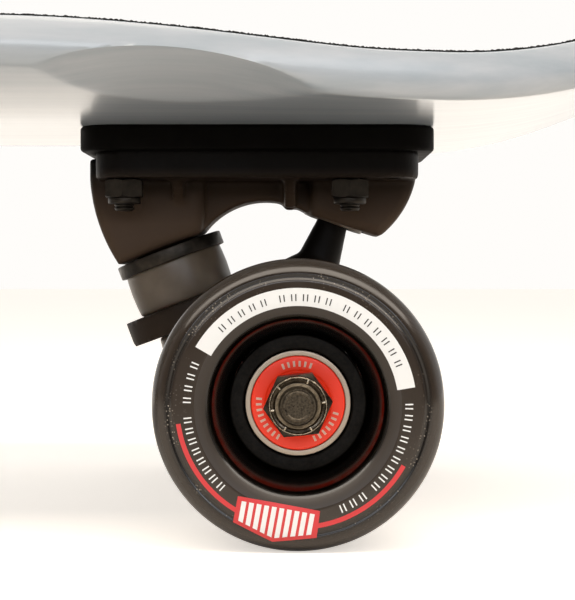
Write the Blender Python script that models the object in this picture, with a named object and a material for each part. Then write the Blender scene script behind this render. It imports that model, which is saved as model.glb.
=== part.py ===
"""Cruiser skateboard: a kicked wooden deck on two cast trucks with four soft urethane wheels.

Metres, +Z up. +X runs towards the tail, the origin is on the ground under the middle of the board,
and the wheels stand on z = 0. Each truck is drawn in its own frame, whose origin is the middle of
its axle and whose +X points to its own end of the board, so the front truck is the rear one turned
half round.
"""

import math

import bmesh
import bpy
from mathutils import Matrix, Vector

# Clearances
SEAT_GAP = 0.0003
HOLE_GAP = 0.0003
OVERCUT = 0.004
MERGE_DISTANCE = 0.000002

# Deck
DECK_LENGTH = 0.711
DECK_WIDTH = 0.203
DECK_THICKNESS = 0.0088
TAIL_TAPER_LENGTH = 0.2355
NOSE_TAPER_LENGTH = 0.2500
TAIL_FULLNESS = 2.2
NOSE_FULLNESS = 2.3
TAIL_LENGTH = 0.140
TAIL_KICK_RADIUS = 0.105
TAIL_KICK_ANGLE = math.radians(20)
NOSE_KICK_RADIUS = 0.250
NOSE_KICK_ANGLE = math.radians(11)
CONCAVE_RISE = 0.0062
CONCAVE_RUN = 0.076
CONCAVE_START = 0.0180
CONCAVE_SOFTNESS = 0.008
FLAT_MARGIN = 0.0035
DECK_TOP_ROUND = 0.0012
DECK_BOTTOM_ROUND = 0.0036
GRIP_THICKNESS = 0.0007
GRIP_INSET = 0.0008

# Wheel wells sanded into the deck's lower edge
WELL_RADIUS = 0.085
WELL_DEPTH = 0.0086
WELL_REACH = 0.031
WELL_SETBACK = 0.0275

# Riser and truck bolts
RISER_LENGTH = 0.0847
RISER_WIDTH = 0.057
RISER_THICKNESS = 0.0058
RISER_CORNER = 0.009
BOLT_SPACING_LONG = 0.05398
BOLT_SPACING_WIDE = 0.04128
SPARE_SPACING_LONG = 0.0635
INNER_BOLTS_APART = 0.362
BOLT_RADIUS = 0.0024
BOLT_HEAD_RADIUS = 0.0048
BOLT_HEAD_DEPTH = 0.0028
BOLT_SOCKET_RADIUS = 0.0019
BOLT_SOCKET_DEPTH = 0.0018
BOLT_NUT_FLATS = 0.0087
BOLT_NUT_HEIGHT = 0.0058
BOLT_END = 0.0016

# Wheel
WHEEL_RADIUS = 0.030
WHEEL_WIDTH = 0.044
LIP_RADIUS = 0.0048
FACE_MOUTH_RADIUS = 0.0185
CORE_RADIUS = 0.0142
CORE_SHOULDER_RADIUS = 0.0088
CORE_LIP = 0.0004
BEARING_RADIUS = 0.011
BEARING_WIDTH = 0.007
BEARING_RACE = 0.0012
BEARING_SHIELD_RECESS = 0.0005
INNER_RACE_RADIUS = 0.0058
BEARING_SPACING = 0.0100
SLEEVE_FLANGE_WIDTH = 0.0010
SLEEVE_FLANGE_EXTRA = 0.0005
WASHER_RADIUS = 0.0062
WASHER_WIDTH = 0.0010
AXLE_RADIUS = 0.00397
AXLE_NUT_FLATS = 0.0127
AXLE_NUT_HEIGHT = 0.0056
AXLE_NUT_COLLAR_RADIUS = 0.0060
AXLE_NUT_COLLAR_HEIGHT = 0.0018
AXLE_NUT_TURN = math.radians(-26)
AXLE_END = 0.0020
AXLE_CHAMFER = 0.0007

# Truck
PLATE_ABOVE_AXLE = 0.0556
PLATE_LENGTH = 0.0773
PLATE_WIDTH = 0.055
PLATE_THICKNESS = 0.0060
PLATE_CORNER = 0.008
PLATE_SETBACK = 0.0098
HOUSING_BULGE = 0.0026
HOUSING_TOP_STEP = 0.0006
HOUSING_HALF_WIDTH = 0.0122
WEB_HALF_WIDTH = 0.0080
PIVOT_HOUSING_HALF_WIDTH = 0.0112
CAST_ROUND = 0.0022
ARCH_RISE = 0.0056
SIDE_RISE = 0.0014
KINGPIN_TILT = math.radians(20.75)
RING_SETBACK = 0.0265
RING_ABOVE_AXLE = 0.0172
RING_RADIUS = 0.0165
RING_BORE = 0.0080
RING_WIDTH = 0.0062
BUSHING_RADIUS = 0.0126
BUSHING_EASE = 0.0004
BOARDSIDE_BUSHING_HEIGHT = 0.0112
ROADSIDE_BUSHING_RADIUS = 0.0103
ROADSIDE_BUSHING_HEIGHT = 0.0098
CUP_WASHER_WALL = 0.0016
CUP_WASHER_RIM = 0.0014
CUP_WASHER_RIM_WALL = 0.0007
PAD_HEIGHT = 0.0024
PAD_RADIUS = 0.0068
KINGPIN_RADIUS = 0.00475
KINGPIN_HEAD_RADIUS = 0.0058
KINGPIN_HEAD_HEIGHT = 0.0040
KINGPIN_HEAD_BELOW_PLATE = 0.0015
KINGPIN_NUT_FLATS = 0.0143
KINGPIN_NUT_HEIGHT = 0.0064
KINGPIN_END = 0.0012
PIVOT_AHEAD = 0.0111
PIVOT_ABOVE_AXLE = 0.0463
STEM_TILT = math.radians(20)
STEM_TIP_RADIUS = 0.0042
STEM_MOUTH_RADIUS = 0.0039
STEM_ROOT_RADIUS = 0.0054
STEM_ROOT_DISTANCE = 0.0175
STEM_ROOT_SHOULDER = 0.0005
CUP_DEPTH = 0.0075
CUP_WALL = 0.0016
CUP_FLARE = 0.0021
CUP_END_WALL = 0.0014
PIVOT_HOUSING_RADIUS = 0.0106
HANGER_WIDTH = 0.105
HANGER_END_RADIUS = 0.0084
HANGER_MIDDLE_RADIUS = 0.0090
HANGER_SHOULDER_RADIUS = 0.0098
HANGER_SHOULDER = 0.030
HANGER_ROOT_RADIUS = 0.0062
HANGER_ROOT_HALF_WIDTH = 0.026
RING_BACK = 0.0125

# Facets
WHEEL_SIDES = 32
RING_SIDES = 24
ROUND_SIDES = 16
SMALL_SIDES = 8
HEX_SIDES = 6
DRUM_SIDES = 96
OUTLINE_STEPS = 12
LIP_STEPS = 3
KICK_STEPS = 5
CORNER_STEPS = 3
BOTTOM_ROUND_STEPS = 2
ARCH_STEPS = 8
HOUSING_SIDE_STEPS = 4
PIVOT_SIDE_STEPS = 3
TIP_ANGLES = (0, 0.55, 1.1)
CONCAVE_SHARES = (0.1, 0.25, 0.5, 0.75, 1)
RAIL_SHARES = (0, 0.3, 0.55, 0.78)
SMOOTH_ANGLE = math.radians(32)

# Heights and places that follow
AXLE_Z = WHEEL_RADIUS
PLATE_Z = PLATE_ABOVE_AXLE
RISER_Z = PLATE_Z + SEAT_GAP
DECK_BOTTOM_Z = RISER_Z + RISER_THICKNESS + SEAT_GAP
DECK_TOP_Z = DECK_BOTTOM_Z + DECK_THICKNESS
OUTER_BOLTS_X = DECK_LENGTH / 2 - TAIL_LENGTH
INNER_BOLT_OFFSET = -PLATE_SETBACK - SPARE_SPACING_LONG / 2
OUTER_BOLT_OFFSET = INNER_BOLT_OFFSET + BOLT_SPACING_LONG
SPARE_BOLT_OFFSET = INNER_BOLT_OFFSET + SPARE_SPACING_LONG
REAR_AXLE_X = OUTER_BOLTS_X - OUTER_BOLT_OFFSET
FRONT_AXLE_X = OUTER_BOLTS_X - BOLT_SPACING_LONG - INNER_BOLTS_APART + INNER_BOLT_OFFSET
RISER_END = RISER_LENGTH / 2 - PLATE_SETBACK
FLAT_HALF_WIDTH = RISER_WIDTH / 2 + FLAT_MARGIN
DRUM_LENGTH = 3 * WELL_REACH
RING_CENTRE = Vector((-RING_SETBACK, 0, RING_ABOVE_AXLE))
PIVOT = Vector((PIVOT_AHEAD, 0, PIVOT_ABOVE_AXLE))

# Places along the kingpin, counted downwards from the middle of the hanger's ring
BOARDSIDE_BUSHING_LOW = -RING_WIDTH / 2 - SEAT_GAP
BOARDSIDE_BUSHING_TOP = BOARDSIDE_BUSHING_LOW - BOARDSIDE_BUSHING_HEIGHT
BOARDSIDE_WASHER_LOW = BOARDSIDE_BUSHING_TOP - SEAT_GAP
BOARDSIDE_WASHER_TOP = BOARDSIDE_WASHER_LOW - CUP_WASHER_WALL
PAD_FACE = BOARDSIDE_WASHER_TOP - SEAT_GAP
HOUSING_FACE = PAD_FACE - PAD_HEIGHT
ROADSIDE_BUSHING_TOP = RING_WIDTH / 2 + SEAT_GAP
ROADSIDE_BUSHING_LOW = ROADSIDE_BUSHING_TOP + ROADSIDE_BUSHING_HEIGHT
ROADSIDE_WASHER_TOP = ROADSIDE_BUSHING_LOW + SEAT_GAP
ROADSIDE_WASHER_LOW = ROADSIDE_WASHER_TOP + CUP_WASHER_WALL
KINGPIN_NUT_TOP = ROADSIDE_WASHER_LOW + SEAT_GAP
KINGPIN_NUT_LOW = KINGPIN_NUT_TOP + KINGPIN_NUT_HEIGHT
KINGPIN_BOTTOM = KINGPIN_NUT_LOW + KINGPIN_END
HEAD_LIFT = KINGPIN_HEAD_RADIUS * math.sin(KINGPIN_TILT)
HEAD_RISE = PLATE_Z - KINGPIN_HEAD_BELOW_PLATE - RING_ABOVE_AXLE - HEAD_LIFT
KINGPIN_TOP = -HEAD_RISE / math.cos(KINGPIN_TILT)
KINGPIN_HEAD_LOW = KINGPIN_TOP + KINGPIN_HEAD_HEIGHT

# Places along the axle, counted outwards from the middle of the wheel
CORE_HALF = BEARING_SPACING / 2 + BEARING_WIDTH
BEARING_CENTRE = (BEARING_SPACING + BEARING_WIDTH) / 2
SLEEVE_INNER = -CORE_HALF - SEAT_GAP - SLEEVE_FLANGE_WIDTH
WHEEL_CENTRE = HANGER_WIDTH / 2 + SEAT_GAP - SLEEVE_INNER
WASHER_INNER = CORE_HALF + SEAT_GAP
AXLE_NUT_INNER = WASHER_INNER + WASHER_WIDTH + SEAT_GAP
AXLE_NUT_OUTER = AXLE_NUT_INNER + AXLE_NUT_HEIGHT + AXLE_NUT_COLLAR_HEIGHT
AXLE_HALF = WHEEL_CENTRE + AXLE_NUT_OUTER + AXLE_END


def clear_scene():
    """Remove every object and mesh that the file opened with."""
    for thing in list(bpy.data.objects):
        bpy.data.objects.remove(thing, do_unlink=True)
    for mesh in list(bpy.data.meshes):
        bpy.data.meshes.remove(mesh)


def material(name, colour, roughness, metallic=0.0):
    """A Principled material of one colour."""
    made = bpy.data.materials.new(name)
    made.use_nodes = True
    shader = made.node_tree.nodes["Principled BSDF"]
    shader.inputs["Base Color"].default_value = (*colour, 1)
    shader.inputs["Roughness"].default_value = roughness
    shader.inputs["Metallic"].default_value = metallic
    made.diffuse_color = (*colour, 1)
    return made


def mesh_of(shape, name):
    """Close a bmesh into a mesh whose faces point outwards."""
    bmesh.ops.recalc_face_normals(shape, faces=shape.faces)
    mesh = bpy.data.meshes.new(name)
    shape.to_mesh(mesh)
    shape.free()
    return mesh


def turned(name, profile, sides, to_flats=False):
    """A profile of (radius, height) points spun round the Z axis. It is closed on itself where no
    point lies on the axis. Flats, not corners, touch the radius where to_flats is set."""
    step = math.tau / sides
    stretch = 1 / math.cos(step / 2) if to_flats else 1
    start = Matrix.Rotation(step / 2, 3, "Z")
    shape = bmesh.new()
    points = [shape.verts.new(start @ Vector((r * stretch, 0, z))) for r, z in profile]
    solid_of_revolution = any(r == 0 for r, _ in profile)
    for first, second in zip(points, points[1:]):
        shape.edges.new((first, second))
    if not solid_of_revolution:
        shape.edges.new((points[-1], points[0]))
    bmesh.ops.spin(
        shape,
        geom=shape.verts[:] + shape.edges[:],
        cent=(0, 0, 0),
        axis=(0, 0, 1),
        angle=math.tau,
        steps=sides,
        use_merge=True,
    )
    bmesh.ops.remove_doubles(shape, verts=shape.verts, dist=MERGE_DISTANCE)
    return mesh_of(shape, name)


def cylinder(radius, low, high):
    """The turned profile of a plain cylinder."""
    return [(0, low), (radius, low), (radius, high), (0, high)]


def tube(bore, radius, low, high):
    """The turned profile of a plain tube."""
    return [(bore, low), (radius, low), (radius, high), (bore, high)]


def hexagon(name, flats, low, high, bore=0, collar=None):
    """A hex nut along Z, with its bore and an optional round collar of (radius, top)."""
    body = turned(name, cylinder(flats / 2, low, high), HEX_SIDES, to_flats=True)
    joined, cut = [], []
    if collar:
        radius, top = collar
        joined.append(turned("collar", cylinder(radius, high - OVERCUT / 2, top), ROUND_SIDES))
        high = top
    if bore:
        hole = cylinder(bore, low - OVERCUT, high + OVERCUT)
        cut.append(turned("bore", hole, ROUND_SIDES))
    return combined(name, body, joined, cut)


def prism(name, outline, half_width, soften=0.0):
    """An outline of (x, z) points drawn out along Y, its side edges softened as on a casting."""
    shape = bmesh.new()
    side = shape.faces.new([shape.verts.new((x, -half_width, z)) for x, z in outline])
    drawn = bmesh.ops.extrude_face_region(shape, geom=[side])
    moved = [part for part in drawn["geom"] if isinstance(part, bmesh.types.BMVert)]
    bmesh.ops.translate(shape, verts=moved, vec=(0, 2 * half_width, 0))
    if soften:
        rims = [edge for edge in shape.edges if abs(edge.verts[0].co.y - edge.verts[1].co.y) < 1e-7]
        bmesh.ops.bevel(
            shape, geom=rims, offset=soften, segments=1, profile=0.5, affect="EDGES", material=-1
        )
    return mesh_of(shape, name)


def plate(name, length, width, corner, low, high, centre_x):
    """A flat plate with rounded corners."""
    shape = bmesh.new()
    bmesh.ops.create_cube(shape, size=1)
    bmesh.ops.scale(shape, vec=(length, width, high - low), verts=shape.verts)
    bmesh.ops.translate(shape, vec=(centre_x, 0, (low + high) / 2), verts=shape.verts)
    upright = [edge for edge in shape.edges if abs(edge.verts[0].co.z - edge.verts[1].co.z) > 1e-7]
    bmesh.ops.bevel(
        shape, geom=upright, offset=corner, segments=CORNER_STEPS, profile=0.5,
        affect="EDGES", material=-1,
    )
    return mesh_of(shape, name)


def placed(mesh, matrix):
    """The mesh moved by a matrix."""
    mesh.transform(matrix)
    return mesh


def gathered(name, shapes):
    """Several shapes that don't meet, as one mesh."""
    together = bmesh.new()
    for shape in shapes:
        together.from_mesh(shape)
        bpy.data.meshes.remove(shape)
    return mesh_of(together, name)


def combined(name, body, joined=(), cut=()):
    """One mesh from a body, the shapes joined on to it and the shapes cut out of it."""
    main = bpy.data.objects.new(name, body)
    bpy.context.scene.collection.objects.link(main)
    steps = [("UNION", shape) for shape in joined]
    if cut:
        steps.append(("DIFFERENCE", gathered("holes", cut)))
    helpers = []
    for operation, shape in steps:
        helper = bpy.data.objects.new(name + "_cutter", shape)
        helper.hide_render = True
        helper.display_type = "WIRE"
        bpy.context.scene.collection.objects.link(helper)
        helpers.append(helper)
        step = main.modifiers.new(operation.title(), "BOOLEAN")
        step.operation = operation
        step.solver = "EXACT"
        step.object = helper
    bpy.context.view_layer.update()
    seen = main.evaluated_get(bpy.context.evaluated_depsgraph_get())
    made = bpy.data.meshes.new_from_object(seen)
    for thing in [main, *helpers]:
        mesh = thing.data
        bpy.data.objects.remove(thing, do_unlink=True)
        bpy.data.meshes.remove(mesh)
    tidy = bmesh.new()
    tidy.from_mesh(made)
    bmesh.ops.remove_doubles(tidy, verts=tidy.verts, dist=MERGE_DISTANCE)
    tidy.to_mesh(made)
    tidy.free()
    made.name = name
    return made


def empty(name, parent, location, turn=(0, 0, 0)):
    """A guide that carries pieces."""
    guide = bpy.data.objects.new(name, None)
    guide.parent = parent
    guide.location = location
    guide.rotation_euler = turn
    bpy.context.scene.collection.objects.link(guide)
    return guide


def piece(name, mesh, finish, parent, location=(0, 0, 0), turn=(0, 0, 0)):
    """One named sub-part, carried by a guide."""
    made = bpy.data.objects.new(name, mesh)
    made.parent = parent
    made.location = location
    made.rotation_euler = turn
    bpy.context.scene.collection.objects.link(made)
    if not mesh.materials:
        mesh.materials.append(finish)
    mesh.shade_smooth()
    mesh.set_sharp_from_angle(angle=SMOOTH_ANGLE)
    return made


def half_width_at(x, inset=0.0):
    """Half the deck's width at a place along it: full in the middle, drawn in to each end."""
    half = DECK_WIDTH / 2 - inset
    end = DECK_LENGTH / 2 - inset
    taper = (TAIL_TAPER_LENGTH if x > 0 else NOSE_TAPER_LENGTH) - inset
    fullness = TAIL_FULLNESS if x > 0 else NOSE_FULLNESS
    share = max(0.0, (abs(x) - (end - taper)) / taper)
    return half * max(0.0, 1 - share**2) ** (1 / fullness)


def deck_outline(inset):
    """The deck's outline, with its points close together round the two tips."""
    end = DECK_LENGTH / 2 - inset
    side = []
    for sign, taper in ((1, TAIL_TAPER_LENGTH - inset), (-1, NOSE_TAPER_LENGTH - inset)):
        for step in range(OUTLINE_STEPS):
            share = math.cos(math.pi / 2 * step / OUTLINE_STEPS)
            x = sign * (end - taper + taper * share)
            side.append((x, half_width_at(x, inset)))
    side.sort()
    tail_to_nose = [(x, -y) for x, y in reversed(side)]
    return side + tail_to_nose[1:-1]


def kick(distance, radius, angle):
    """Height of a kick, at a distance past where it starts to bend."""
    if distance <= 0:
        return 0.0
    bend = radius * math.sin(angle)
    if distance < bend:
        return radius - math.sqrt(radius**2 - distance**2)
    return radius * (1 - math.cos(angle)) + (distance - bend) * math.tan(angle)


def softened(distance):
    """A distance that starts gently from nought."""
    return (distance + math.hypot(distance, CONCAVE_SOFTNESS)) / 2


def deck_height(x, y):
    """Height of the deck's top over its flat middle: two kicks, and rails that rise between."""
    tail = kick(x - REAR_AXLE_X - RISER_END, TAIL_KICK_RADIUS, TAIL_KICK_ANGLE)
    nose = kick(FRONT_AXLE_X - RISER_END - x, NOSE_KICK_RADIUS, NOSE_KICK_ANGLE)
    start = RISER_END - CONCAVE_START
    inside = min(REAR_AXLE_X + start - x, x - FRONT_AXLE_X + start)
    rise = CONCAVE_RISE * math.sin(math.pi / 2 * min(1.0, softened(inside) / CONCAVE_RUN))
    share = max(0.0, (abs(y) - FLAT_HALF_WIDTH) / (DECK_WIDTH / 2 - FLAT_HALF_WIDTH))
    return tail + nose + rise * share**2


def bent(point):
    """A point of the flat deck, whose top is z = 0, moved to its place on the bent one."""
    x, y, z = point
    small = 1e-5
    slope_x = (deck_height(x + small, y) - deck_height(x - small, y)) / (2 * small)
    slope_y = (deck_height(x, y + small) - deck_height(x, y - small)) / (2 * small)
    outward = Vector((-slope_x, -slope_y, 1)).normalized()
    return Vector((x, y, deck_height(x, y) + DECK_TOP_Z)) + outward * z


def deck_stations():
    """Places along and across the deck where its faces are divided, so that it can bend."""
    along = []
    for axle, sign, radius, angle in (
        (REAR_AXLE_X, 1, TAIL_KICK_RADIUS, TAIL_KICK_ANGLE),
        (FRONT_AXLE_X, -1, NOSE_KICK_RADIUS, NOSE_KICK_ANGLE),
    ):
        start = axle + sign * RISER_END
        along += [
            start + sign * radius * math.sin(angle * step / KICK_STEPS)
            for step in range(KICK_STEPS + 1)
        ]
        along += [start - sign * CONCAVE_RUN * share for share in CONCAVE_SHARES]
    rail = DECK_WIDTH / 2 - FLAT_HALF_WIDTH
    across = [side * (FLAT_HALF_WIDTH + rail * share) for side in (-1, 1) for share in RAIL_SHARES]
    return sorted(along), sorted(across)


def split_cells(shape):
    """Split the flat four-sided cells along like diagonals, so that stacked sheets bend alike."""
    cells = [f for f in shape.faces if len(f.verts) == 4 and abs(f.normal.z) > 0.9]
    for cell in cells:
        corners = list(cell.verts)
        reach = [corner.co.x + abs(corner.co.y) for corner in corners]
        nearest, furthest = reach.index(min(reach)), reach.index(max(reach))
        if abs(nearest - furthest) == 2:
            bmesh.utils.face_split(cell, corners[nearest], corners[furthest])


def sheet(name, outline, low, high, top_round=0.0, bottom_round=0.0):
    """A flat sheet between two heights, its rims rounded, divided and bent to the deck's shape."""
    shape = bmesh.new()
    base = shape.faces.new([shape.verts.new((x, y, low)) for x, y in outline])
    drawn = bmesh.ops.extrude_face_region(shape, geom=[base])
    moved = [part for part in drawn["geom"] if isinstance(part, bmesh.types.BMVert)]
    bmesh.ops.translate(shape, verts=moved, vec=(0, 0, high - low))
    rims = ((high, top_round, 1), (low, bottom_round, BOTTOM_ROUND_STEPS))
    for height, size, steps in rims:
        if size:
            rim = [e for e in shape.edges if all(abs(v.co.z - height) < 1e-7 for v in e.verts)]
            bmesh.ops.bevel(
                shape, geom=rim, offset=size, segments=steps, profile=0.5,
                affect="EDGES", material=-1,
            )
    along, across = deck_stations()
    for places, normal in ((along, Vector((1, 0, 0))), (across, Vector((0, 1, 0)))):
        for place in places:
            everything = shape.verts[:] + shape.edges[:] + shape.faces[:]
            bmesh.ops.bisect_plane(
                shape, geom=everything, dist=1e-6, plane_co=normal * place, plane_no=normal
            )
    bmesh.ops.recalc_face_normals(shape, faces=shape.faces)
    split_cells(shape)
    bmesh.ops.triangulate(shape, faces=shape.faces)
    for vert in shape.verts:
        vert.co = bent(vert.co)
    return mesh_of(shape, name)


def bolt_places():
    """The eight truck bolts' places on the deck, as (truck name, number, x, y)."""
    places = []
    for truck, axle, sign in (("front", FRONT_AXLE_X, -1), ("rear", REAR_AXLE_X, 1)):
        number = 0
        for offset in (INNER_BOLT_OFFSET, OUTER_BOLT_OFFSET):
            for side in (-1, 1):
                number += 1
                x = axle + sign * offset
                places.append((truck, number, x, side * BOLT_SPACING_WIDE / 2))
    return places


def bolt_profile(gap=0.0):
    """A countersunk bolt's turned profile from its head down, grown by a gap for its hole."""
    head = DECK_TOP_Z + SEAT_GAP + GRIP_THICKNESS
    neck = head - BOLT_HEAD_DEPTH
    end = PLATE_Z - PLATE_THICKNESS - SEAT_GAP - BOLT_NUT_HEIGHT - BOLT_END
    top = head + (OVERCUT if gap else 0)
    bottom = end - (OVERCUT if gap else 0)
    return [
        (0, top),
        (BOLT_HEAD_RADIUS + gap, top),
        (BOLT_HEAD_RADIUS + gap, head - gap),
        (BOLT_RADIUS + gap, neck - gap),
        (BOLT_RADIUS + gap, bottom),
        (0, bottom),
    ]


def bolt_hole(x, y):
    """A cutter for one bolt's countersunk hole."""
    hole = turned("hole", bolt_profile(HOLE_GAP), SMALL_SIDES)
    return placed(hole, Matrix.Translation((x, y, 0)))


def well_cutter(axle, sign, side):
    """A drum that sands one wheel well, leaning so that the well deepens towards the rail."""
    rail = half_width_at(axle)
    lean = math.atan2(WELL_DEPTH, WELL_REACH)
    drum = turned("drum", cylinder(WELL_RADIUS, -WELL_REACH, DRUM_LENGTH), DRUM_SIDES)
    lay = Matrix.Rotation(math.radians(-90) * side, 4, "X")
    tilt = Matrix.Rotation(lean * side, 4, "X")
    x = axle - sign * WELL_SETBACK
    inner = DECK_BOTTOM_Z - WELL_RADIUS * math.cos(lean)
    offset = WELL_RADIUS * math.sin(lean)
    centre = Matrix.Translation((x, side * (rail - WELL_REACH + offset), inner))
    return placed(drum, centre @ tilt @ lay)


def deck_mesh():
    """The wooden deck, with its bolt holes and wheel wells."""
    slab = sheet(
        "deck", deck_outline(0), -DECK_THICKNESS, 0, DECK_TOP_ROUND, DECK_BOTTOM_ROUND
    )
    cut = [bolt_hole(x, y) for _, _, x, y in bolt_places()]
    for axle, sign in ((REAR_AXLE_X, 1), (FRONT_AXLE_X, -1)):
        cut += [well_cutter(axle, sign, side) for side in (-1, 1)]
    return combined("deck", slab, cut=cut)


def grip_mesh():
    """The grip sheet on the deck's top, with round windows for the bolt heads."""
    low = SEAT_GAP
    sheet_mesh = sheet("grip_tape", deck_outline(GRIP_INSET), low, low + GRIP_THICKNESS)
    cut = [bolt_hole(x, y) for _, _, x, y in bolt_places()]
    return combined("grip_tape", sheet_mesh, cut=cut)


def plate_holes():
    """Cutters for the six upright bolt holes that the riser and the baseplate share."""
    cut = []
    for offset in (INNER_BOLT_OFFSET, OUTER_BOLT_OFFSET, SPARE_BOLT_OFFSET):
        for side in (-1, 1):
            hole = cylinder(BOLT_RADIUS + HOLE_GAP, 0, DECK_TOP_Z + OVERCUT)
            place = Matrix.Translation((offset, side * BOLT_SPACING_WIDE / 2, 0))
            cut.append(placed(turned("hole", hole, SMALL_SIDES), place))
    return cut


def riser_mesh():
    """The flat pad between truck and deck."""
    pad = plate(
        "riser", RISER_LENGTH, RISER_WIDTH, RISER_CORNER,
        RISER_Z, RISER_Z + RISER_THICKNESS, -PLATE_SETBACK,
    )
    return combined("riser", pad, cut=plate_holes())


def along_kingpin():
    """Matrix that lays +Z down the kingpin from the middle of the ring."""
    return Matrix.Translation(RING_CENTRE) @ Matrix.Rotation(math.pi - KINGPIN_TILT, 4, "Y")


def along_stem():
    """Matrix that lays +Z up the pivot stem from the centre of its round tip."""
    return Matrix.Translation(PIVOT) @ Matrix.Rotation(STEM_TILT, 4, "Y")


def by_kingpin(outward, down):
    """The (x, z) of a point beside the kingpin, outward towards the axle and down from the ring."""
    point = along_kingpin() @ Vector((-outward, 0, down))
    return point.x, point.z


def by_stem(outward, up):
    """The (x, z) of a point beside the pivot stem, outward and up from the centre of its tip."""
    point = along_stem() @ Vector((outward, 0, up))
    return point.x, point.z


def arc(start, end, rise, steps):
    """Points between two ends of a circular arc that rises to the left of their chord."""
    first, last = Vector(start), Vector(end)
    chord = last - first
    half = chord.length / 2
    radius = (half**2 + rise**2) / (2 * rise)
    left = Vector((-chord.y, chord.x)).normalized()
    centre = (first + last) / 2 - left * (radius - rise)
    spread = math.asin(half / radius)
    points = []
    for step in range(1, steps):
        angle = spread - 2 * spread * step / steps
        aim = left * math.cos(angle) - chord.normalized() * math.sin(angle)
        points.append(tuple(centre + aim * radius))
    return points


def baseplate_mesh():
    """The cast baseplate: a bolted plate with a kingpin housing, a pivot housing and a web."""
    under = PLATE_Z - PLATE_THICKNESS
    inside = under + PLATE_THICKNESS / 2
    left = -PLATE_SETBACK - PLATE_LENGTH / 2 - HOUSING_BULGE
    right = -PLATE_SETBACK + PLATE_LENGTH / 2
    mouth = -CUP_DEPTH
    housing_low = by_kingpin(-HOUSING_HALF_WIDTH, HOUSING_FACE)
    housing_right = by_kingpin(PAD_RADIUS, HOUSING_FACE)
    housing_far = by_kingpin(HOUSING_HALF_WIDTH, HOUSING_FACE - PAD_RADIUS)
    mouth_left = by_stem(-STEM_MOUTH_RADIUS - CUP_FLARE, mouth)
    mouth_tip = by_stem(PIVOT_HOUSING_RADIUS, mouth)
    housing_top = PLATE_Z - HOUSING_TOP_STEP
    top_left = (left, housing_top)
    side_left = (left, under)

    body = plate(
        "baseplate", PLATE_LENGTH, PLATE_WIDTH, PLATE_CORNER, under, PLATE_Z, -PLATE_SETBACK
    )
    kingpin_housing = prism(
        "kingpin_housing",
        [
            top_left,
            side_left,
            *reversed(arc(housing_low, side_left, SIDE_RISE, HOUSING_SIDE_STEPS)),
            housing_low,
            housing_right,
            housing_far,
            (housing_far[0], housing_top),
        ],
        HOUSING_HALF_WIDTH,
        CAST_ROUND,
    )
    web = prism(
        "web",
        [
            (housing_low[0], inside),
            by_kingpin(-PAD_RADIUS, HOUSING_FACE - CAST_ROUND),
            housing_right,
            *arc(housing_right, mouth_left, ARCH_RISE, ARCH_STEPS),
            mouth_left,
            by_stem(0, mouth / 2),
            (by_stem(0, mouth)[0], inside),
        ],
        WEB_HALF_WIDTH,
    )
    pivot_housing = prism(
        "pivot_housing",
        [
            (mouth_left[0], inside),
            mouth_left,
            mouth_tip,
            *reversed(arc((right, under), mouth_tip, SIDE_RISE, PIVOT_SIDE_STEPS)),
            (right, under),
            (right - CAST_ROUND, inside),
        ],
        PIVOT_HOUSING_HALF_WIDTH,
        CAST_ROUND,
    )
    pad = turned("pad", cylinder(PAD_RADIUS, HOUSING_FACE - OVERCUT / 2, PAD_FACE), ROUND_SIDES)

    cut = [
        placed(turned("kingpin_hole", kingpin_profile(HOLE_GAP), ROUND_SIDES), along_kingpin()),
        placed(turned("cup_pocket", cup_outside(HOLE_GAP), ROUND_SIDES), along_stem()),
        *plate_holes(),
    ]
    joined = [kingpin_housing, web, pivot_housing, placed(pad, along_kingpin())]
    return combined("baseplate", body, joined, cut)


def cup_outside(gap=0.0):
    """The pivot cup's outer profile from its closed end to its mouth, grown by a gap."""
    mouth = -CUP_DEPTH - (OVERCUT if gap else 0)
    end = STEM_TIP_RADIUS + HOLE_GAP + CUP_END_WALL + gap
    wide = STEM_MOUTH_RADIUS + CUP_FLARE + CUP_WALL + gap
    return [(0, end), (STEM_TIP_RADIUS + gap, end), (wide, 0), (wide, mouth), (0, mouth)]


def round_tip(radius):
    """Points of a rounded end, from its top down to the start of its side."""
    return [(radius * math.sin(angle), radius * math.cos(angle)) for angle in TIP_ANGLES]


def pivot_cup_mesh():
    """The urethane cup that the hanger's pivot stem rocks in, flared towards its mouth."""
    bore = STEM_TIP_RADIUS + HOLE_GAP
    flare = STEM_MOUTH_RADIUS + CUP_FLARE
    inside = [(flare, -CUP_DEPTH), (bore, 0), *reversed(round_tip(bore))]
    profile = [*cup_outside()[:-1], *inside]
    return turned("pivot_cup", profile, ROUND_SIDES)


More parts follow.
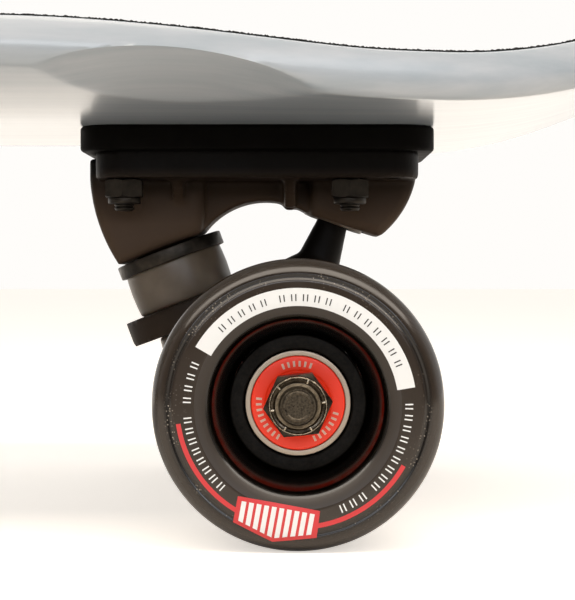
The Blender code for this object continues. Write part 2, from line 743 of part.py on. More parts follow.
def hanger_mesh():
    """The cast hanger: axle beam, ring for the bushings, and pivot stem, drawn together."""
    ring = turned("ring", tube(RING_BORE, RING_RADIUS, -RING_WIDTH / 2, RING_WIDTH / 2), RING_SIDES)
    root = -STEM_ROOT_DISTANCE
    stem = turned(
        "stem",
        [
            *round_tip(STEM_TIP_RADIUS),
            (STEM_TIP_RADIUS, 0),
            (STEM_MOUTH_RADIUS, -CUP_DEPTH),
            (STEM_ROOT_RADIUS, root),
            (STEM_ROOT_RADIUS, root - OVERCUT / 2),
            (0, root - OVERCUT / 2),
        ],
        ROUND_SIDES,
    )
    half = HANGER_WIDTH / 2
    beam = turned(
        "beam",
        [
            (0, -half),
            (HANGER_END_RADIUS, -half),
            (HANGER_SHOULDER_RADIUS, -HANGER_SHOULDER),
            (HANGER_MIDDLE_RADIUS, 0),
            (HANGER_SHOULDER_RADIUS, HANGER_SHOULDER),
            (HANGER_END_RADIUS, half),
            (0, half),
        ],
        ROUND_SIDES,
    )
    hole = cylinder(AXLE_RADIUS + HOLE_GAP, -half - OVERCUT, half + OVERCUT)
    bore = turned("bore", hole, ROUND_SIDES)
    across = Matrix.Rotation(math.radians(90), 4, "X")

    web = bmesh.new()
    corners = []
    spread = math.acos(RING_BACK / RING_RADIUS)
    for share in (-1, 0, 1):
        angle = spread * share
        for side in (-1, 1):
            place = (
                -RING_RADIUS * math.cos(angle),
                RING_RADIUS * math.sin(angle),
                side * (RING_WIDTH / 2 - SEAT_GAP),
            )
            corners.append(along_kingpin() @ Vector(place))
    for side in (-1, 1):
        for step in range(SMALL_SIDES):
            angle = math.tau * step / SMALL_SIDES
            place = (HANGER_ROOT_RADIUS * math.cos(angle), 0, HANGER_ROOT_RADIUS * math.sin(angle))
            corners.append(Vector(place) + Vector((0, side * HANGER_ROOT_HALF_WIDTH, 0)))
    root_radius = STEM_ROOT_RADIUS + STEM_ROOT_SHOULDER
    for step in range(ROUND_SIDES):
        angle = math.tau * (step + 0.5) / ROUND_SIDES
        place = (root_radius * math.cos(angle), root_radius * math.sin(angle), root)
        corners.append(along_stem() @ Vector(place))
    for corner in corners:
        web.verts.new(corner)
    hull = bmesh.ops.convex_hull(web, input=web.verts)
    spare = {part for part in hull["geom_interior"] if isinstance(part, bmesh.types.BMVert)}
    bmesh.ops.delete(web, geom=list(spare), context="VERTS")
    joined = [
        placed(beam, across),
        placed(ring, along_kingpin()),
        placed(stem, along_stem()),
    ]
    return combined("hanger", mesh_of(web, "hanger"), joined, [placed(bore, across)])


def axle_mesh():
    """The steel axle, chamfered at both ends."""
    edge = AXLE_RADIUS - AXLE_CHAMFER
    profile = [
        (0, -AXLE_HALF),
        (edge, -AXLE_HALF),
        (AXLE_RADIUS, -AXLE_HALF + AXLE_CHAMFER),
        (AXLE_RADIUS, AXLE_HALF - AXLE_CHAMFER),
        (edge, AXLE_HALF),
        (0, AXLE_HALF),
    ]
    return turned("axle", profile, ROUND_SIDES)


def kingpin_profile(gap=0.0):
    """The kingpin's turned profile, head up, grown by a gap for its hole."""
    top = KINGPIN_TOP * (2 if gap else 1)
    head_radius = KINGPIN_HEAD_RADIUS + gap
    radius = KINGPIN_RADIUS + gap
    head_low = KINGPIN_HEAD_LOW + gap
    return [
        (0, top),
        (head_radius, top),
        (head_radius, head_low),
        (radius, head_low),
        (radius, KINGPIN_BOTTOM),
        (0, KINGPIN_BOTTOM),
    ]


def bushing_mesh(name, radius, low, high):
    """A urethane bushing: a ring with eased rims, slightly fuller at mid height."""
    bore = KINGPIN_RADIUS + HOLE_GAP
    middle = (low + high) / 2
    profile = [
        (bore, low),
        (radius - BUSHING_EASE, low),
        (radius, middle),
        (radius - BUSHING_EASE, high),
        (bore, high),
    ]
    return turned(name, profile, ROUND_SIDES)


def cup_washer_mesh(name, bushing_radius, rim, seat, back):
    """A dished washer: seat is its face to the bushing, back its face away from it."""
    bore = KINGPIN_RADIUS + HOLE_GAP
    inner = bushing_radius + HOLE_GAP
    outer = inner + CUP_WASHER_RIM_WALL
    lip = seat + math.copysign(rim, seat - back)
    profile = [(bore, back), (outer, back), (outer, lip), (inner, lip), (inner, seat), (bore, seat)]
    return turned(name, profile, ROUND_SIDES)


def tyre_mesh():
    """The urethane tyre: rounded lips, flat printed faces and a mouth that runs in to the core."""
    half = WHEEL_WIDTH / 2
    lip_centre = WHEEL_RADIUS - LIP_RADIUS
    outer = []
    for step in range(LIP_STEPS + 1):
        angle = math.radians(90) * step / LIP_STEPS
        outer.append(
            (
                lip_centre + LIP_RADIUS * math.cos(angle),
                half - LIP_RADIUS + LIP_RADIUS * math.sin(angle),
            )
        )
    bore = CORE_RADIUS + HOLE_GAP
    outer += [(FACE_MOUTH_RADIUS, half), (bore, CORE_HALF)]
    inner = [(radius, -height) for radius, height in reversed(outer)]
    return turned("tyre", outer + inner, WHEEL_SIDES, to_flats=True)


def core_mesh():
    """The stiff core moulded into the tyre, with a shoulder between its two bearing seats."""
    seat = BEARING_RADIUS + HOLE_GAP
    shoulder = BEARING_SPACING / 2 - SEAT_GAP
    end = CORE_HALF + CORE_LIP
    profile = [
        (CORE_RADIUS, end),
        (seat, end),
        (seat, shoulder),
        (CORE_SHOULDER_RADIUS, shoulder),
        (CORE_SHOULDER_RADIUS, -shoulder),
        (seat, -shoulder),
        (seat, -end),
        (CORE_RADIUS, -end),
    ]
    return turned("wheel_core", profile, ROUND_SIDES)


def bearing_mesh():
    """A shielded bearing's turning half: outer race, with both shields and the balls inside."""
    bore = INNER_RACE_RADIUS + HOLE_GAP
    race = BEARING_RADIUS - BEARING_RACE
    half = BEARING_WIDTH / 2
    shield = half - BEARING_SHIELD_RECESS
    profile = [
        (bore, -half),
        (BEARING_RADIUS, -half),
        (BEARING_RADIUS, half),
        (race, half),
        (race, shield),
        (bore, shield),
    ]
    return turned("bearing", profile, ROUND_SIDES)


def sleeve_mesh():
    """Both inner races, the spacer between them and the inner washer, as one standing sleeve."""
    bore = AXLE_RADIUS + HOLE_GAP
    flange = INNER_RACE_RADIUS + SLEEVE_FLANGE_EXTRA
    flange_end = SLEEVE_INNER + SLEEVE_FLANGE_WIDTH
    profile = [
        (bore, SLEEVE_INNER),
        (flange, SLEEVE_INNER),
        (flange, flange_end),
        (INNER_RACE_RADIUS, flange_end),
        (INNER_RACE_RADIUS, CORE_HALF),
        (bore, CORE_HALF),
    ]
    return turned("bearing_sleeve", profile, ROUND_SIDES)


def build_wheel(name, carrier, side, finishes, meshes):
    """One wheel and the parts that clamp it on the axle. Its guide's +Z points outwards."""
    turn = (math.radians(-90) * side, 0, 0)
    place = (RING_SETBACK, side * WHEEL_CENTRE, -RING_ABOVE_AXLE)
    guide = empty("wheel_spin_" + name, carrier, place, turn)
    piece("tyre_" + name, meshes["tyre"], finishes["urethane"], guide)
    piece("wheel_core_" + name, meshes["core"], finishes["core"], guide)
    piece(
        "bearing_outboard_" + name, meshes["bearing"], finishes["bearing"], guide,
        (0, 0, BEARING_CENTRE),
    )
    piece(
        "bearing_inboard_" + name, meshes["bearing"], finishes["bearing"], guide,
        (0, 0, -BEARING_CENTRE), (math.pi, 0, 0),
    )
    piece("bearing_sleeve_" + name, meshes["sleeve"], finishes["steel"], guide)
    piece("axle_washer_" + name, meshes["washer"], finishes["steel"], guide)
    nut_turn = (0, 0, AXLE_NUT_TURN)
    piece(
        "axle_nut_" + name, meshes["axle_nut"], finishes["black_steel"], guide,
        (0, 0, 0), nut_turn,
    )


def build_truck(name, board, axle_x, turn, finishes, meshes):
    """One truck with its riser and two wheels, from the axle's middle."""
    truck = empty("truck_" + name, board, (axle_x, 0, AXLE_Z), (0, 0, turn))
    kingpin_turn = (0, math.pi - KINGPIN_TILT, 0)
    stem_turn = (0, STEM_TILT, 0)
    piece("riser_" + name, meshes["riser"], finishes["riser"], truck)
    piece("baseplate_" + name, meshes["baseplate"], finishes["casting"], truck)
    piece("pivot_cup_" + name, meshes["cup"], finishes["cup"], truck, PIVOT, stem_turn)
    on_kingpin = (
        ("kingpin_", "kingpin", "black_steel"),
        ("kingpin_nut_", "kingpin_nut", "black_steel"),
        ("bushing_boardside_", "bushing_boardside", "bushing"),
        ("bushing_roadside_", "bushing_roadside", "bushing"),
        ("cup_washer_boardside_", "washer_boardside", "black_steel"),
        ("cup_washer_roadside_", "washer_roadside", "black_steel"),
    )
    for label, mesh, finish in on_kingpin:
        piece(label + name, meshes[mesh], finishes[finish], truck, RING_CENTRE, kingpin_turn)
    steer = empty("steer_" + name, truck, RING_CENTRE)
    piece("hanger_" + name, meshes["hanger"], finishes["casting"], steer, -RING_CENTRE)
    piece(
        "axle_" + name, meshes["axle"], finishes["steel"], steer, -RING_CENTRE,
        (math.radians(90), 0, 0),
    )
    for side in (-1, 1):
        towards_left = side * math.cos(turn) < 0
        hand = "left" if towards_left else "right"
        build_wheel(name + "_" + hand, steer, side, finishes, meshes)


def build():
    """The whole board."""
    clear_scene()
    finishes = {
        "wood": material("painted_wood", (0.52, 0.56, 0.56), 0.25),
        "grip": material("grip_sheet", (0.02, 0.02, 0.02), 0.95),
        "riser": material("riser_plastic", (0.015, 0.014, 0.012), 0.5),
        "casting": material("black_casting", (0.03, 0.028, 0.026), 0.45, 0.2),
        "cup": material("cup_rubber", (0.02, 0.02, 0.02), 0.7),
        "bushing": material("bushing_urethane", (0.10, 0.09, 0.08), 0.5),
        "steel": material("plated_steel", (0.55, 0.55, 0.56), 0.3, 1.0),
        "black_steel": material("blackened_steel", (0.06, 0.06, 0.06), 0.35, 0.9),
        "urethane": material("wheel_urethane", (0.012, 0.011, 0.010), 0.12),
        "core": material("core_plastic", (0.015, 0.012, 0.012), 0.3),
        "bearing": material("red_shield", (0.75, 0.06, 0.03), 0.4),
        "bolt": material("bolt_steel", (0.05, 0.05, 0.05), 0.35, 0.9),
    }
    washer_outer = WASHER_INNER + WASHER_WIDTH
    bore = AXLE_RADIUS + HOLE_GAP
    nut_collar = (AXLE_NUT_COLLAR_RADIUS, AXLE_NUT_OUTER)
    meshes = {
        "tyre": tyre_mesh(),
        "core": core_mesh(),
        "bearing": bearing_mesh(),
        "sleeve": sleeve_mesh(),
        "washer": turned(
            "axle_washer", tube(bore, WASHER_RADIUS, WASHER_INNER, washer_outer), ROUND_SIDES
        ),
        "axle_nut": hexagon(
            "axle_nut", AXLE_NUT_FLATS, AXLE_NUT_INNER, AXLE_NUT_INNER + AXLE_NUT_HEIGHT,
            bore, nut_collar,
        ),
        "riser": riser_mesh(),
        "baseplate": baseplate_mesh(),
        "cup": pivot_cup_mesh(),
        "hanger": hanger_mesh(),
        "axle": axle_mesh(),
        "kingpin": turned("kingpin", kingpin_profile(), ROUND_SIDES),
        "kingpin_nut": hexagon(
            "kingpin_nut", KINGPIN_NUT_FLATS, KINGPIN_NUT_TOP, KINGPIN_NUT_LOW,
            KINGPIN_RADIUS + HOLE_GAP,
        ),
        "bushing_boardside": bushing_mesh(
            "bushing_boardside", BUSHING_RADIUS, BOARDSIDE_BUSHING_TOP, BOARDSIDE_BUSHING_LOW
        ),
        "bushing_roadside": bushing_mesh(
            "bushing_roadside", ROADSIDE_BUSHING_RADIUS, ROADSIDE_BUSHING_TOP, ROADSIDE_BUSHING_LOW
        ),
        "washer_boardside": cup_washer_mesh(
            "cup_washer_boardside", BUSHING_RADIUS, CUP_WASHER_RIM,
            BOARDSIDE_WASHER_LOW, BOARDSIDE_WASHER_TOP,
        ),
        "washer_roadside": cup_washer_mesh(
            "cup_washer_roadside", ROADSIDE_BUSHING_RADIUS, CUP_WASHER_RIM,
            ROADSIDE_WASHER_TOP, ROADSIDE_WASHER_LOW,
        ),
    }
    deck = deck_mesh()
    reach = [vert.co.x for vert in deck.vertices]
    board = empty("board", None, (-(min(reach) + max(reach)) / 2, 0, 0))
    top = empty("deck_frame", board, (0, 0, AXLE_Z))
    piece("deck", deck, finishes["wood"], top)
    piece("grip_tape", grip_mesh(), finishes["grip"], top)
    nut_high = PLATE_Z - PLATE_THICKNESS - SEAT_GAP
    socket = cylinder(BOLT_SOCKET_RADIUS, 0, 2 * BOLT_SOCKET_DEPTH)
    head = DECK_TOP_Z + SEAT_GAP + GRIP_THICKNESS
    drop = Matrix.Translation((0, 0, head - BOLT_SOCKET_DEPTH))
    nut = turned(
        "nut", cylinder(BOLT_NUT_FLATS / 2, nut_high - BOLT_NUT_HEIGHT, nut_high), HEX_SIDES,
        to_flats=True,
    )
    bolt = combined(
        "mounting_bolt",
        turned("mounting_bolt", bolt_profile(), SMALL_SIDES),
        [nut],
        [placed(turned("socket", socket, HEX_SIDES), drop)],
    )
    for truck, number, x, y in bolt_places():
        piece(f"mounting_bolt_{truck}_{number}", bolt, finishes["bolt"], top, (x, y, 0))
    build_truck("rear", board, REAR_AXLE_X, 0.0, finishes, meshes)
    build_truck("front", board, FRONT_AXLE_X, math.pi, finishes, meshes)
    bpy.context.view_layer.update()


build()
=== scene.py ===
from math import acos, asin, atan2, copysign, cos, degrees, hypot, pi, radians, sin, sqrt, tan, tau

import bmesh
import bpy
from mathutils import Matrix, Vector, noise
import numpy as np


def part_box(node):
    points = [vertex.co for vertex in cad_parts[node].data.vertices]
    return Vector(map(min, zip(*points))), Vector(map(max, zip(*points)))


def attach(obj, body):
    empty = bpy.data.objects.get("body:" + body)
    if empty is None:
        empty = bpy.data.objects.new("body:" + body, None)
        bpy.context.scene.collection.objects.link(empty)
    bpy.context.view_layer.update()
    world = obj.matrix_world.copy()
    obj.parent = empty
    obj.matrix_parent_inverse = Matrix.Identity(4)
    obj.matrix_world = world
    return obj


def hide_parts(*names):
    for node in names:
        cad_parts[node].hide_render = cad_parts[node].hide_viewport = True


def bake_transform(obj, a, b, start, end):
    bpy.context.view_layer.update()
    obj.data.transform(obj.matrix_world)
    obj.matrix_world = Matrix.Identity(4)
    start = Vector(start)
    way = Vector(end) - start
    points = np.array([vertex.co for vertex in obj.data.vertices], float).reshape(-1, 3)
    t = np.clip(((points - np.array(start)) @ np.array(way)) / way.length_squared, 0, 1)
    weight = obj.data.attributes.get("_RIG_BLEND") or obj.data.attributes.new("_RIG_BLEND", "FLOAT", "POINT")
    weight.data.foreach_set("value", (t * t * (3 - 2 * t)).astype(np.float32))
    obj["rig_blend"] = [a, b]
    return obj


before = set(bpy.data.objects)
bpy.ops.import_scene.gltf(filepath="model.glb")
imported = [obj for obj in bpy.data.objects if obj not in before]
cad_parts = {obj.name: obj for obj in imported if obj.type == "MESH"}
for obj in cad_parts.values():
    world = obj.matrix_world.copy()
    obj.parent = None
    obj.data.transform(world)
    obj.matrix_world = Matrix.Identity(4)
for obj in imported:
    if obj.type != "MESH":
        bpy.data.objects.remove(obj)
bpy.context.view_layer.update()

MM = 0.001

# Deck, as on the frame
DECK_LENGTH = 711 * MM
DECK_WIDTH = 203 * MM
DECK_THICKNESS = 8.8 * MM
TAIL_TO_REAR_AXLE = 152.43 * MM
TAIL_TO_FRONT_AXLE = 597.53 * MM
TAIL_TAPER = 235.5 * MM
NOSE_TAPER = 250 * MM
TAIL_FULLNESS = 2.2
NOSE_FULLNESS = 2.3
# A kick is its bend's radius and its angle
TAIL_KICK = (116 * MM, radians(20))
TAIL_KICK_EARLY = 2.4 * MM
NOSE_KICK = (250 * MM, radians(11))
CONCAVE_RISE = 6.5 * MM
CONCAVE_RUN = 76 * MM
CONCAVE_START = 18 * MM
CONCAVE_SOFTNESS = 8 * MM
FLAT_HALF_WIDTH = 32 * MM
WELL_RADIUS = 85 * MM
WELL_DEPTH = 8.6 * MM
WELL_REACH = 31 * MM
WELL_SETBACK = 27.5 * MM
RIM_INSET = 1.3 * MM
SIDE_BULGE = 0.5 * MM
LOW_ROUND = 3.6 * MM
TOP_ROUND = 0.3 * MM
DECK_RISE = 0.6 * MM
GRIP_RIM = 0.16 * MM
GRIP_THICKNESS = 0.7 * MM
SEAT = 0.3 * MM

# Truck, counted from the middle of its axle
AXLE_Z = 30 * MM
PLATE_Z = 55.6 * MM
PLATE_LENGTH = 77.3 * MM
PLATE_WIDTH = 55 * MM
PLATE_THICKNESS = 6 * MM
PLATE_SETBACK = 9.8 * MM
RISER_LENGTH = 84.7 * MM
RISER_WIDTH = 57 * MM
RISER_THICKNESS = 5.8 * MM
BOLT_OFFSETS = (-41.55 * MM, 12.43 * MM)
SPARE_OFFSET = 21.95 * MM
BOLT_Y = 20.64 * MM
RING_HEIGHT = 17.2 * MM
RING_CENTRE = Vector((-26.5 * MM, 0, RING_HEIGHT))
PIVOT = Vector((11.1 * MM, 0, 46.3 * MM))
KINGPIN_TILT = radians(20.75)
STEM_TILT = radians(20)
WHEEL_CENTRE = 66.1 * MM
AXLE_HALF = 89.1 * MM
HANGER_HALF = 52.5 * MM

# Heights that follow
RISER_Z = PLATE_Z + SEAT
DECK_LOW = RISER_Z + RISER_THICKNESS + SEAT
DECK_TOP = DECK_LOW + DECK_THICKNESS
GRIP_TOP = DECK_TOP + SEAT + GRIP_THICKNESS
RISER_END = RISER_LENGTH / 2 - PLATE_SETBACK
REAR_AXLE = DECK_LENGTH / 2 - TAIL_TO_REAR_AXLE
FRONT_AXLE = DECK_LENGTH / 2 - TAIL_TO_FRONT_AXLE
AXLE_X = {name: sum(corner.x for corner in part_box("axle_" + name)) / 2 for name in ("rear", "front")}
DECK_PLACE = Matrix.Translation((AXLE_X["rear"] - REAR_AXLE, 0, AXLE_Z))
WHEELS = (("front", "left"), ("front", "right"), ("rear", "left"), ("rear", "right"))


def linear(code):
    """An sRGB hex colour as a linear colour with full alpha."""
    parts = [int(code[start : start + 2], 16) / 255 for start in (1, 3, 5)]
    return (*[p / 12.92 if p <= 0.04045 else ((p + 0.055) / 1.055) ** 2.4 for p in parts], 1)


def per_mm(size):
    """The texture scale whose pattern repeats at this size in millimetres."""
    return 1 / (size * MM)


# Materials


def node(tree, kind, settings=None, links=None):
    """Add a shader node, named without its prefix, with its settings and links. A linked node
    gives its first output."""
    made = tree.nodes.new("ShaderNode" + kind)
    for key, value in (settings or {}).items():
        if isinstance(key, str) and hasattr(made, key):
            setattr(made, key, value)
        else:
            made.inputs[key].default_value = value
    for key, source in (links or {}).items():
        source = source.outputs[0] if isinstance(source, bpy.types.Node) else source
        tree.links.new(source, made.inputs[key])
    return made


def uneven_colour(tree, shader, place, size, first, second):
    """Drift the base colour between two hex colours in patches of a size in mm."""
    noise_settings = {"Scale": per_mm(size), "Detail": 3.0}
    patches = node(tree, "TexNoise", noise_settings, {"Vector": place})
    share = node(tree, "MapRange", {"From Min": 0.35, "From Max": 0.65}, {"Value": patches})
    colours = {"data_type": "RGBA", 6: linear(first), 7: linear(second)}
    mixed = node(tree, "Mix", colours, {0: share})
    tree.links.new(mixed.outputs[2], shader.inputs["Base Color"])


def uneven_gloss(tree, shader, place, size, low, high):
    """Let the roughness drift between two values in patches of a size in mm."""
    noise_settings = {"Scale": per_mm(size), "Detail": 4.0}
    patches = node(tree, "TexNoise", noise_settings, {"Vector": place})
    span = {"From Min": 0.3, "From Max": 0.7, "To Min": low, "To Max": high}
    ranged = node(tree, "MapRange", span, {"Value": patches})
    tree.links.new(ranged.outputs[0], shader.inputs["Roughness"])


def fine_relief(tree, shader, place, size, depth):
    """Raise a fine even relief of a size and depth in mm."""
    noise_settings = {"Scale": per_mm(size), "Detail": 2.0}
    grains = node(tree, "TexNoise", noise_settings, {"Vector": place})
    bump = node(tree, "Bump", {"Strength": 1.0, "Distance": depth * MM}, {"Height": grains})
    tree.links.new(bump.outputs[0], shader.inputs["Normal"])


def finish(name, colour=None, gloss=None, relief=None, metallic=0.0, **sockets):
    """A Principled material, with its tree, its shader and its Object coordinates. The colour is
    one hex code, or (size, first, second) to drift between two; the gloss is one roughness, or
    (size, low, high); the relief is (size, depth). Sizes and depths are in mm. A colour or gloss
    that isn't given is linked by the caller."""
    made = bpy.data.materials.new(name)
    made.use_nodes = True
    tree = made.node_tree
    shader = tree.nodes["Principled BSDF"]
    place = node(tree, "TexCoord").outputs["Object"]
    shader.inputs["Metallic"].default_value = metallic
    for key, value in sockets.items():
        shader.inputs[key.replace("_", " ")].default_value = value
    if isinstance(colour, str):
        shader.inputs["Base Color"].default_value = linear(colour)
    elif colour:
        uneven_colour(tree, shader, place, *colour)
    if isinstance(gloss, float):
        shader.inputs["Roughness"].default_value = gloss
    elif gloss:
        uneven_gloss(tree, shader, place, *gloss)
    if relief:
        fine_relief(tree, shader, place, *relief)
    return made, tree, shader, place


# What the tyre's weights are for: pale dust where the face rolls over into the lip, painted shade
# in the groove, painted shade down the mouth's wall, lathe marks on the tread, and the satin of the mouth's
# edge
TYRE_WEIGHTS = ("dust", "painted_groove_shade", "painted_mouth_shade", "tread", "satin")


def cast_urethane():
    """Cast polyurethane, poured in a polished mould: deep gloss and faint smears. The lathe
    leaves fine rings on the tread."""
    made, tree, shader, place = finish(
        "cast_polyurethane_black", gloss=(9, 0.12, 0.22), Specular_IOR_Level=0.52
    )
    dust, painted_groove_shade, painted_mouth_shade, tread, satin = (
        node(tree, "Attribute", {"attribute_name": weight}).outputs["Fac"]
        for weight in TYRE_WEIGHTS
    )
    specks = node(tree, "TexVoronoi", {"Scale": per_mm(0.62)}, {"Vector": place})
    near = node(tree, "MapRange", {"From Min": 0.30, "From Max": 0.12}, {"Value": specks})
    drift = node(tree, "TexNoise", {"Scale": per_mm(5.0)}, {"Vector": place})
    patchy = node(tree, "MapRange", {"From Min": 0.48, "From Max": 0.62}, {"Value": drift})
    loose = node(tree, "Math", {"operation": "MULTIPLY"}, {0: near, 1: patchy})
    dusty = node(tree, "Math", {"operation": "MULTIPLY"}, {0: loose, 1: dust})
    # The skin takes painted shade in the groove and down the mouth's wall, and pale dust where the face
    # rolls into the lip
    skin = {}
    for share, colour in ((painted_groove_shade, "#0a0603"), (dusty, "#b0a698"), (painted_mouth_shade, "#030201")):
        colours = {"data_type": "RGBA", 6: linear("#2f2720"), 7: linear(colour)}
        skin = {6: node(tree, "Mix", colours, {0: share, **skin}).outputs[2]}
    tree.links.new(skin[6], shader.inputs["Base Color"])
    rough = shader.inputs["Roughness"].links[0].from_socket
    worn = node(tree, "Math", {"operation": "MULTIPLY", 1: 0.5}, {0: satin})
    for duller in (dusty, worn):
        rough = node(tree, "Math", {"operation": "MAXIMUM"}, {0: rough, 1: duller})
    tree.links.new(rough.outputs[0], shader.inputs["Roughness"])
    bands = {"bands_direction": "Y", "Scale": per_mm(0.5) / 20, "Distortion": 0.6, "Detail": 1.0}
    rings = node(tree, "TexWave", bands, {"Vector": place}).outputs["Fac"]
    lathed = node(tree, "Math", {"operation": "MULTIPLY"}, {0: rings, 1: tread})
    bump = node(tree, "Bump", {"Strength": 0.5, "Distance": 0.03 * MM}, {"Height": lathed})
    tree.links.new(bump.outputs[0], shader.inputs["Normal"])
    return made


def powder_coat(name, low, lit_colour, high, shaded_colour):
    """Black powder coat on cast aluminium: satin, with the orange peel of a baked coat. Its colour
    is painted shade: lighter below one height in mm, and darker above another, where the deck shades it."""
    made, tree, shader, place = finish(
        name, None, (7, 0.42, 0.58), (0.9, 0.05), Specular_IOR_Level=0.1
    )
    upward = node(tree, "SeparateXYZ", links={0: place}).outputs["Z"]
    height = node(
        tree, "MapRange", {"From Min": low * MM, "From Max": high * MM}, {"Value": upward}
    )
    # Painted shade: the lit colour below, the shaded colour above
    colours = {"data_type": "RGBA", 6: linear(lit_colour), 7: linear(shaded_colour)}
    mixed = node(tree, "Mix", colours, {0: height})
    tree.links.new(mixed.outputs[2], shader.inputs["Base Color"])
    return made


def deck_paint():
    """Clear-coated pale blue-grey stain over maple: the grain shows as long soft streaks, and
    the thick clear coat mirrors what is near it."""
    made, tree, shader, place = finish(
        "stained_maple_clear_coat", gloss=0.4, Coat_Weight=1.0, Coat_Roughness=0.2
    )
    along = node(tree, "Mapping", {"Scale": (0.04, 1.0, 1.0)}, {"Vector": place})
    grain = {"Scale": per_mm(4.5), "Detail": 5.0, "Roughness": 0.6}
    streaks = node(tree, "TexNoise", grain, {"Vector": along})
    share = node(tree, "MapRange", {"From Min": 0.32, "From Max": 0.7}, {"Value": streaks})
    colours = {"data_type": "RGBA", 6: linear("#a0aab3"), 7: linear("#b4bac1")}
    mixed = node(tree, "Mix", colours, {0: share})
    tree.links.new(mixed.outputs[2], shader.inputs["Base Color"])
    ripple = node(tree, "TexNoise", {"Scale": per_mm(9)}, {"Vector": along})
    bump = node(tree, "Bump", {"Strength": 0.4, "Distance": 0.012 * MM}, {"Height": ripple})
    tree.links.new(bump.outputs[0], shader.inputs["Coat Normal"])
    return made


def grip_grit():
    """Grip sheet: black mineral grit in resin, drawn at 0.9 mm where the real grain is half
    that, so that it shows. It is matt, with odd grains that catch the light."""
    made, tree, shader, place = finish("silicon_carbide_grip", Specular_IOR_Level=0.25)
    grains = node(tree, "TexVoronoi", {"Scale": per_mm(0.9)}, {"Vector": place})
    each = grains.outputs["Color"]
    lit = node(tree, "MapRange", links={"Value": each})
    colours = {"data_type": "RGBA", 6: linear("#070707"), 7: linear("#1f1f1e")}
    mixed = node(tree, "Mix", colours, {0: lit})
    tree.links.new(mixed.outputs[2], shader.inputs["Base Color"])
    sheen = node(tree, "MapRange", {"To Min": 0.98, "To Max": 0.45}, {"Value": each})
    tree.links.new(sheen.outputs[0], shader.inputs["Roughness"])
    proud = {"Strength": 1.0, "Distance": 0.3 * MM, "invert": True}
    bump = node(tree, "Bump", proud, {"Height": grains})
    tree.links.new(bump.outputs[0], shader.inputs["Normal"])
    return made


URETHANE = cast_urethane()
# The castings' colours carry painted shade: dark up under the deck, lighter lower down
PLATE_CASTING = powder_coat("powder_coated_baseplate_painted_shade", 69, "#4e3f33", 82, "#060403")
HANGER_CASTING = powder_coat("powder_coated_hanger_painted_shade", 42, "#322820", 62, "#0a0705")
PAINT = deck_paint()
GRIT = grip_grit()

# Pad-printed ink: flat and a little chalky, with faint pinholes
WHITE_INK, RED_INK, PALE_INK, DARK_INK = (
    finish(f"pad_printed_{label}_ink", colour, (2.5, 0.34, 0.52), (0.35, 0.006))[0]
    for label, colour in (
        ("white", "#e4e6e7"), ("red", "#cb3538"), ("pale", "#f6cbb8"), ("dark", "#2a2725"),
    )
)

# Glass-filled nylon, injection moulded: dark, low sheen
NYLON, *_ = finish(
    "glass_filled_nylon_black", (0.7, "#030201", "#120e09"), (3, 0.5, 0.7), (0.6, 0.06),
    Specular_IOR_Level=0.15,
)

# Bearing steel, ground and oiled: warm silver with a tight sheen
RACE, *_ = finish("ground_bearing_steel", "#b8aa9a", (2, 0.40, 0.50), (0.25, 0.002), 1.0)

# Pressed steel under orange-red enamel, given a faint glow as painted light that lifts its colour in its
# recess
SHIELD, *_ = finish(
    "red_enamelled_steel_painted_glow", "#ff3a1c", (2, 0.26, 0.40), (0.5, 0.006),
    Emission_Color=linear("#ff3414"), Emission_Strength=0.14,
)

# The nuts' black finish: nearly black, with a low oily sheen
BLACKED, *_ = finish(
    "blacked_nut_steel", (1.6, "#231f1a", "#3b352e"), (1.2, 0.24, 0.40), (0.35, 0.002), 0.9
)

# Black zinc plating worn to grey metal on thin edges, whose sheen breaks up in patches
GUNMETAL, *_ = finish(
    "black_zinc_plating", (1.6, "#62594e", "#968a7a"), (1.2, 0.14, 0.24), (0.35, 0.0015), 1.0
)

# Plating rubbed through to bare steel where a spanner touches it: thin bright lines
RUBBED_EDGE, *_ = finish(
    "rubbed_bare_steel", (0.9, "#8d8270", "#d8cbb6"), (0.8, 0.14, 0.34), metallic=1.0
)

# The axle's plating, rubbed brown-grey and faintly pitted
WORN, *_ = finish(
    "rubbed_axle_plating", (0.4, "#39332b", "#574f43"), (0.8, 0.26, 0.44), (0.3, 0.012), 0.9
)

# The lock nut's moulded insert, greyed by grit and oil, with a turned grain
AGED_RING, *_ = finish("oiled_nylon_insert", (0.8, "#6e6250", "#978a75"), 0.4, (0.3, 0.01), 0.3)

# Bright zinc plating on steel: cool silver with a fine drawn grain
BRIGHT, *_ = finish("bright_zinc_plating", "#b4b2ae", (2, 0.2, 0.36), (0.3, 0.004), 1.0)

# Black oxide on bolts: nearly black, oily, with brown-grey high spots
OXIDE, *_ = finish("black_oxide_steel", (2, "#2b2723", "#38332d"), (1.5, 0.3, 0.5), metallic=0.85)

# Moulded black urethane of the riser: matt, with a faint pebbled skin
RISER, *_ = finish(
    "moulded_riser_urethane", "#040302", (5, 0.52, 0.70), (0.5, 0.03), Specular_IOR_Level=0.06
)

# Cast bushing urethane: smoky dark brown, waxy, with light sinking slightly into it
BUSHING, *_ = finish(
    "cast_bushing_urethane", (6, "#584c40", "#64584a"), 0.36, (0.6, 0.01),
    Subsurface_Weight=0.15, Subsurface_Scale=1.5 * MM,
)


# Shapes


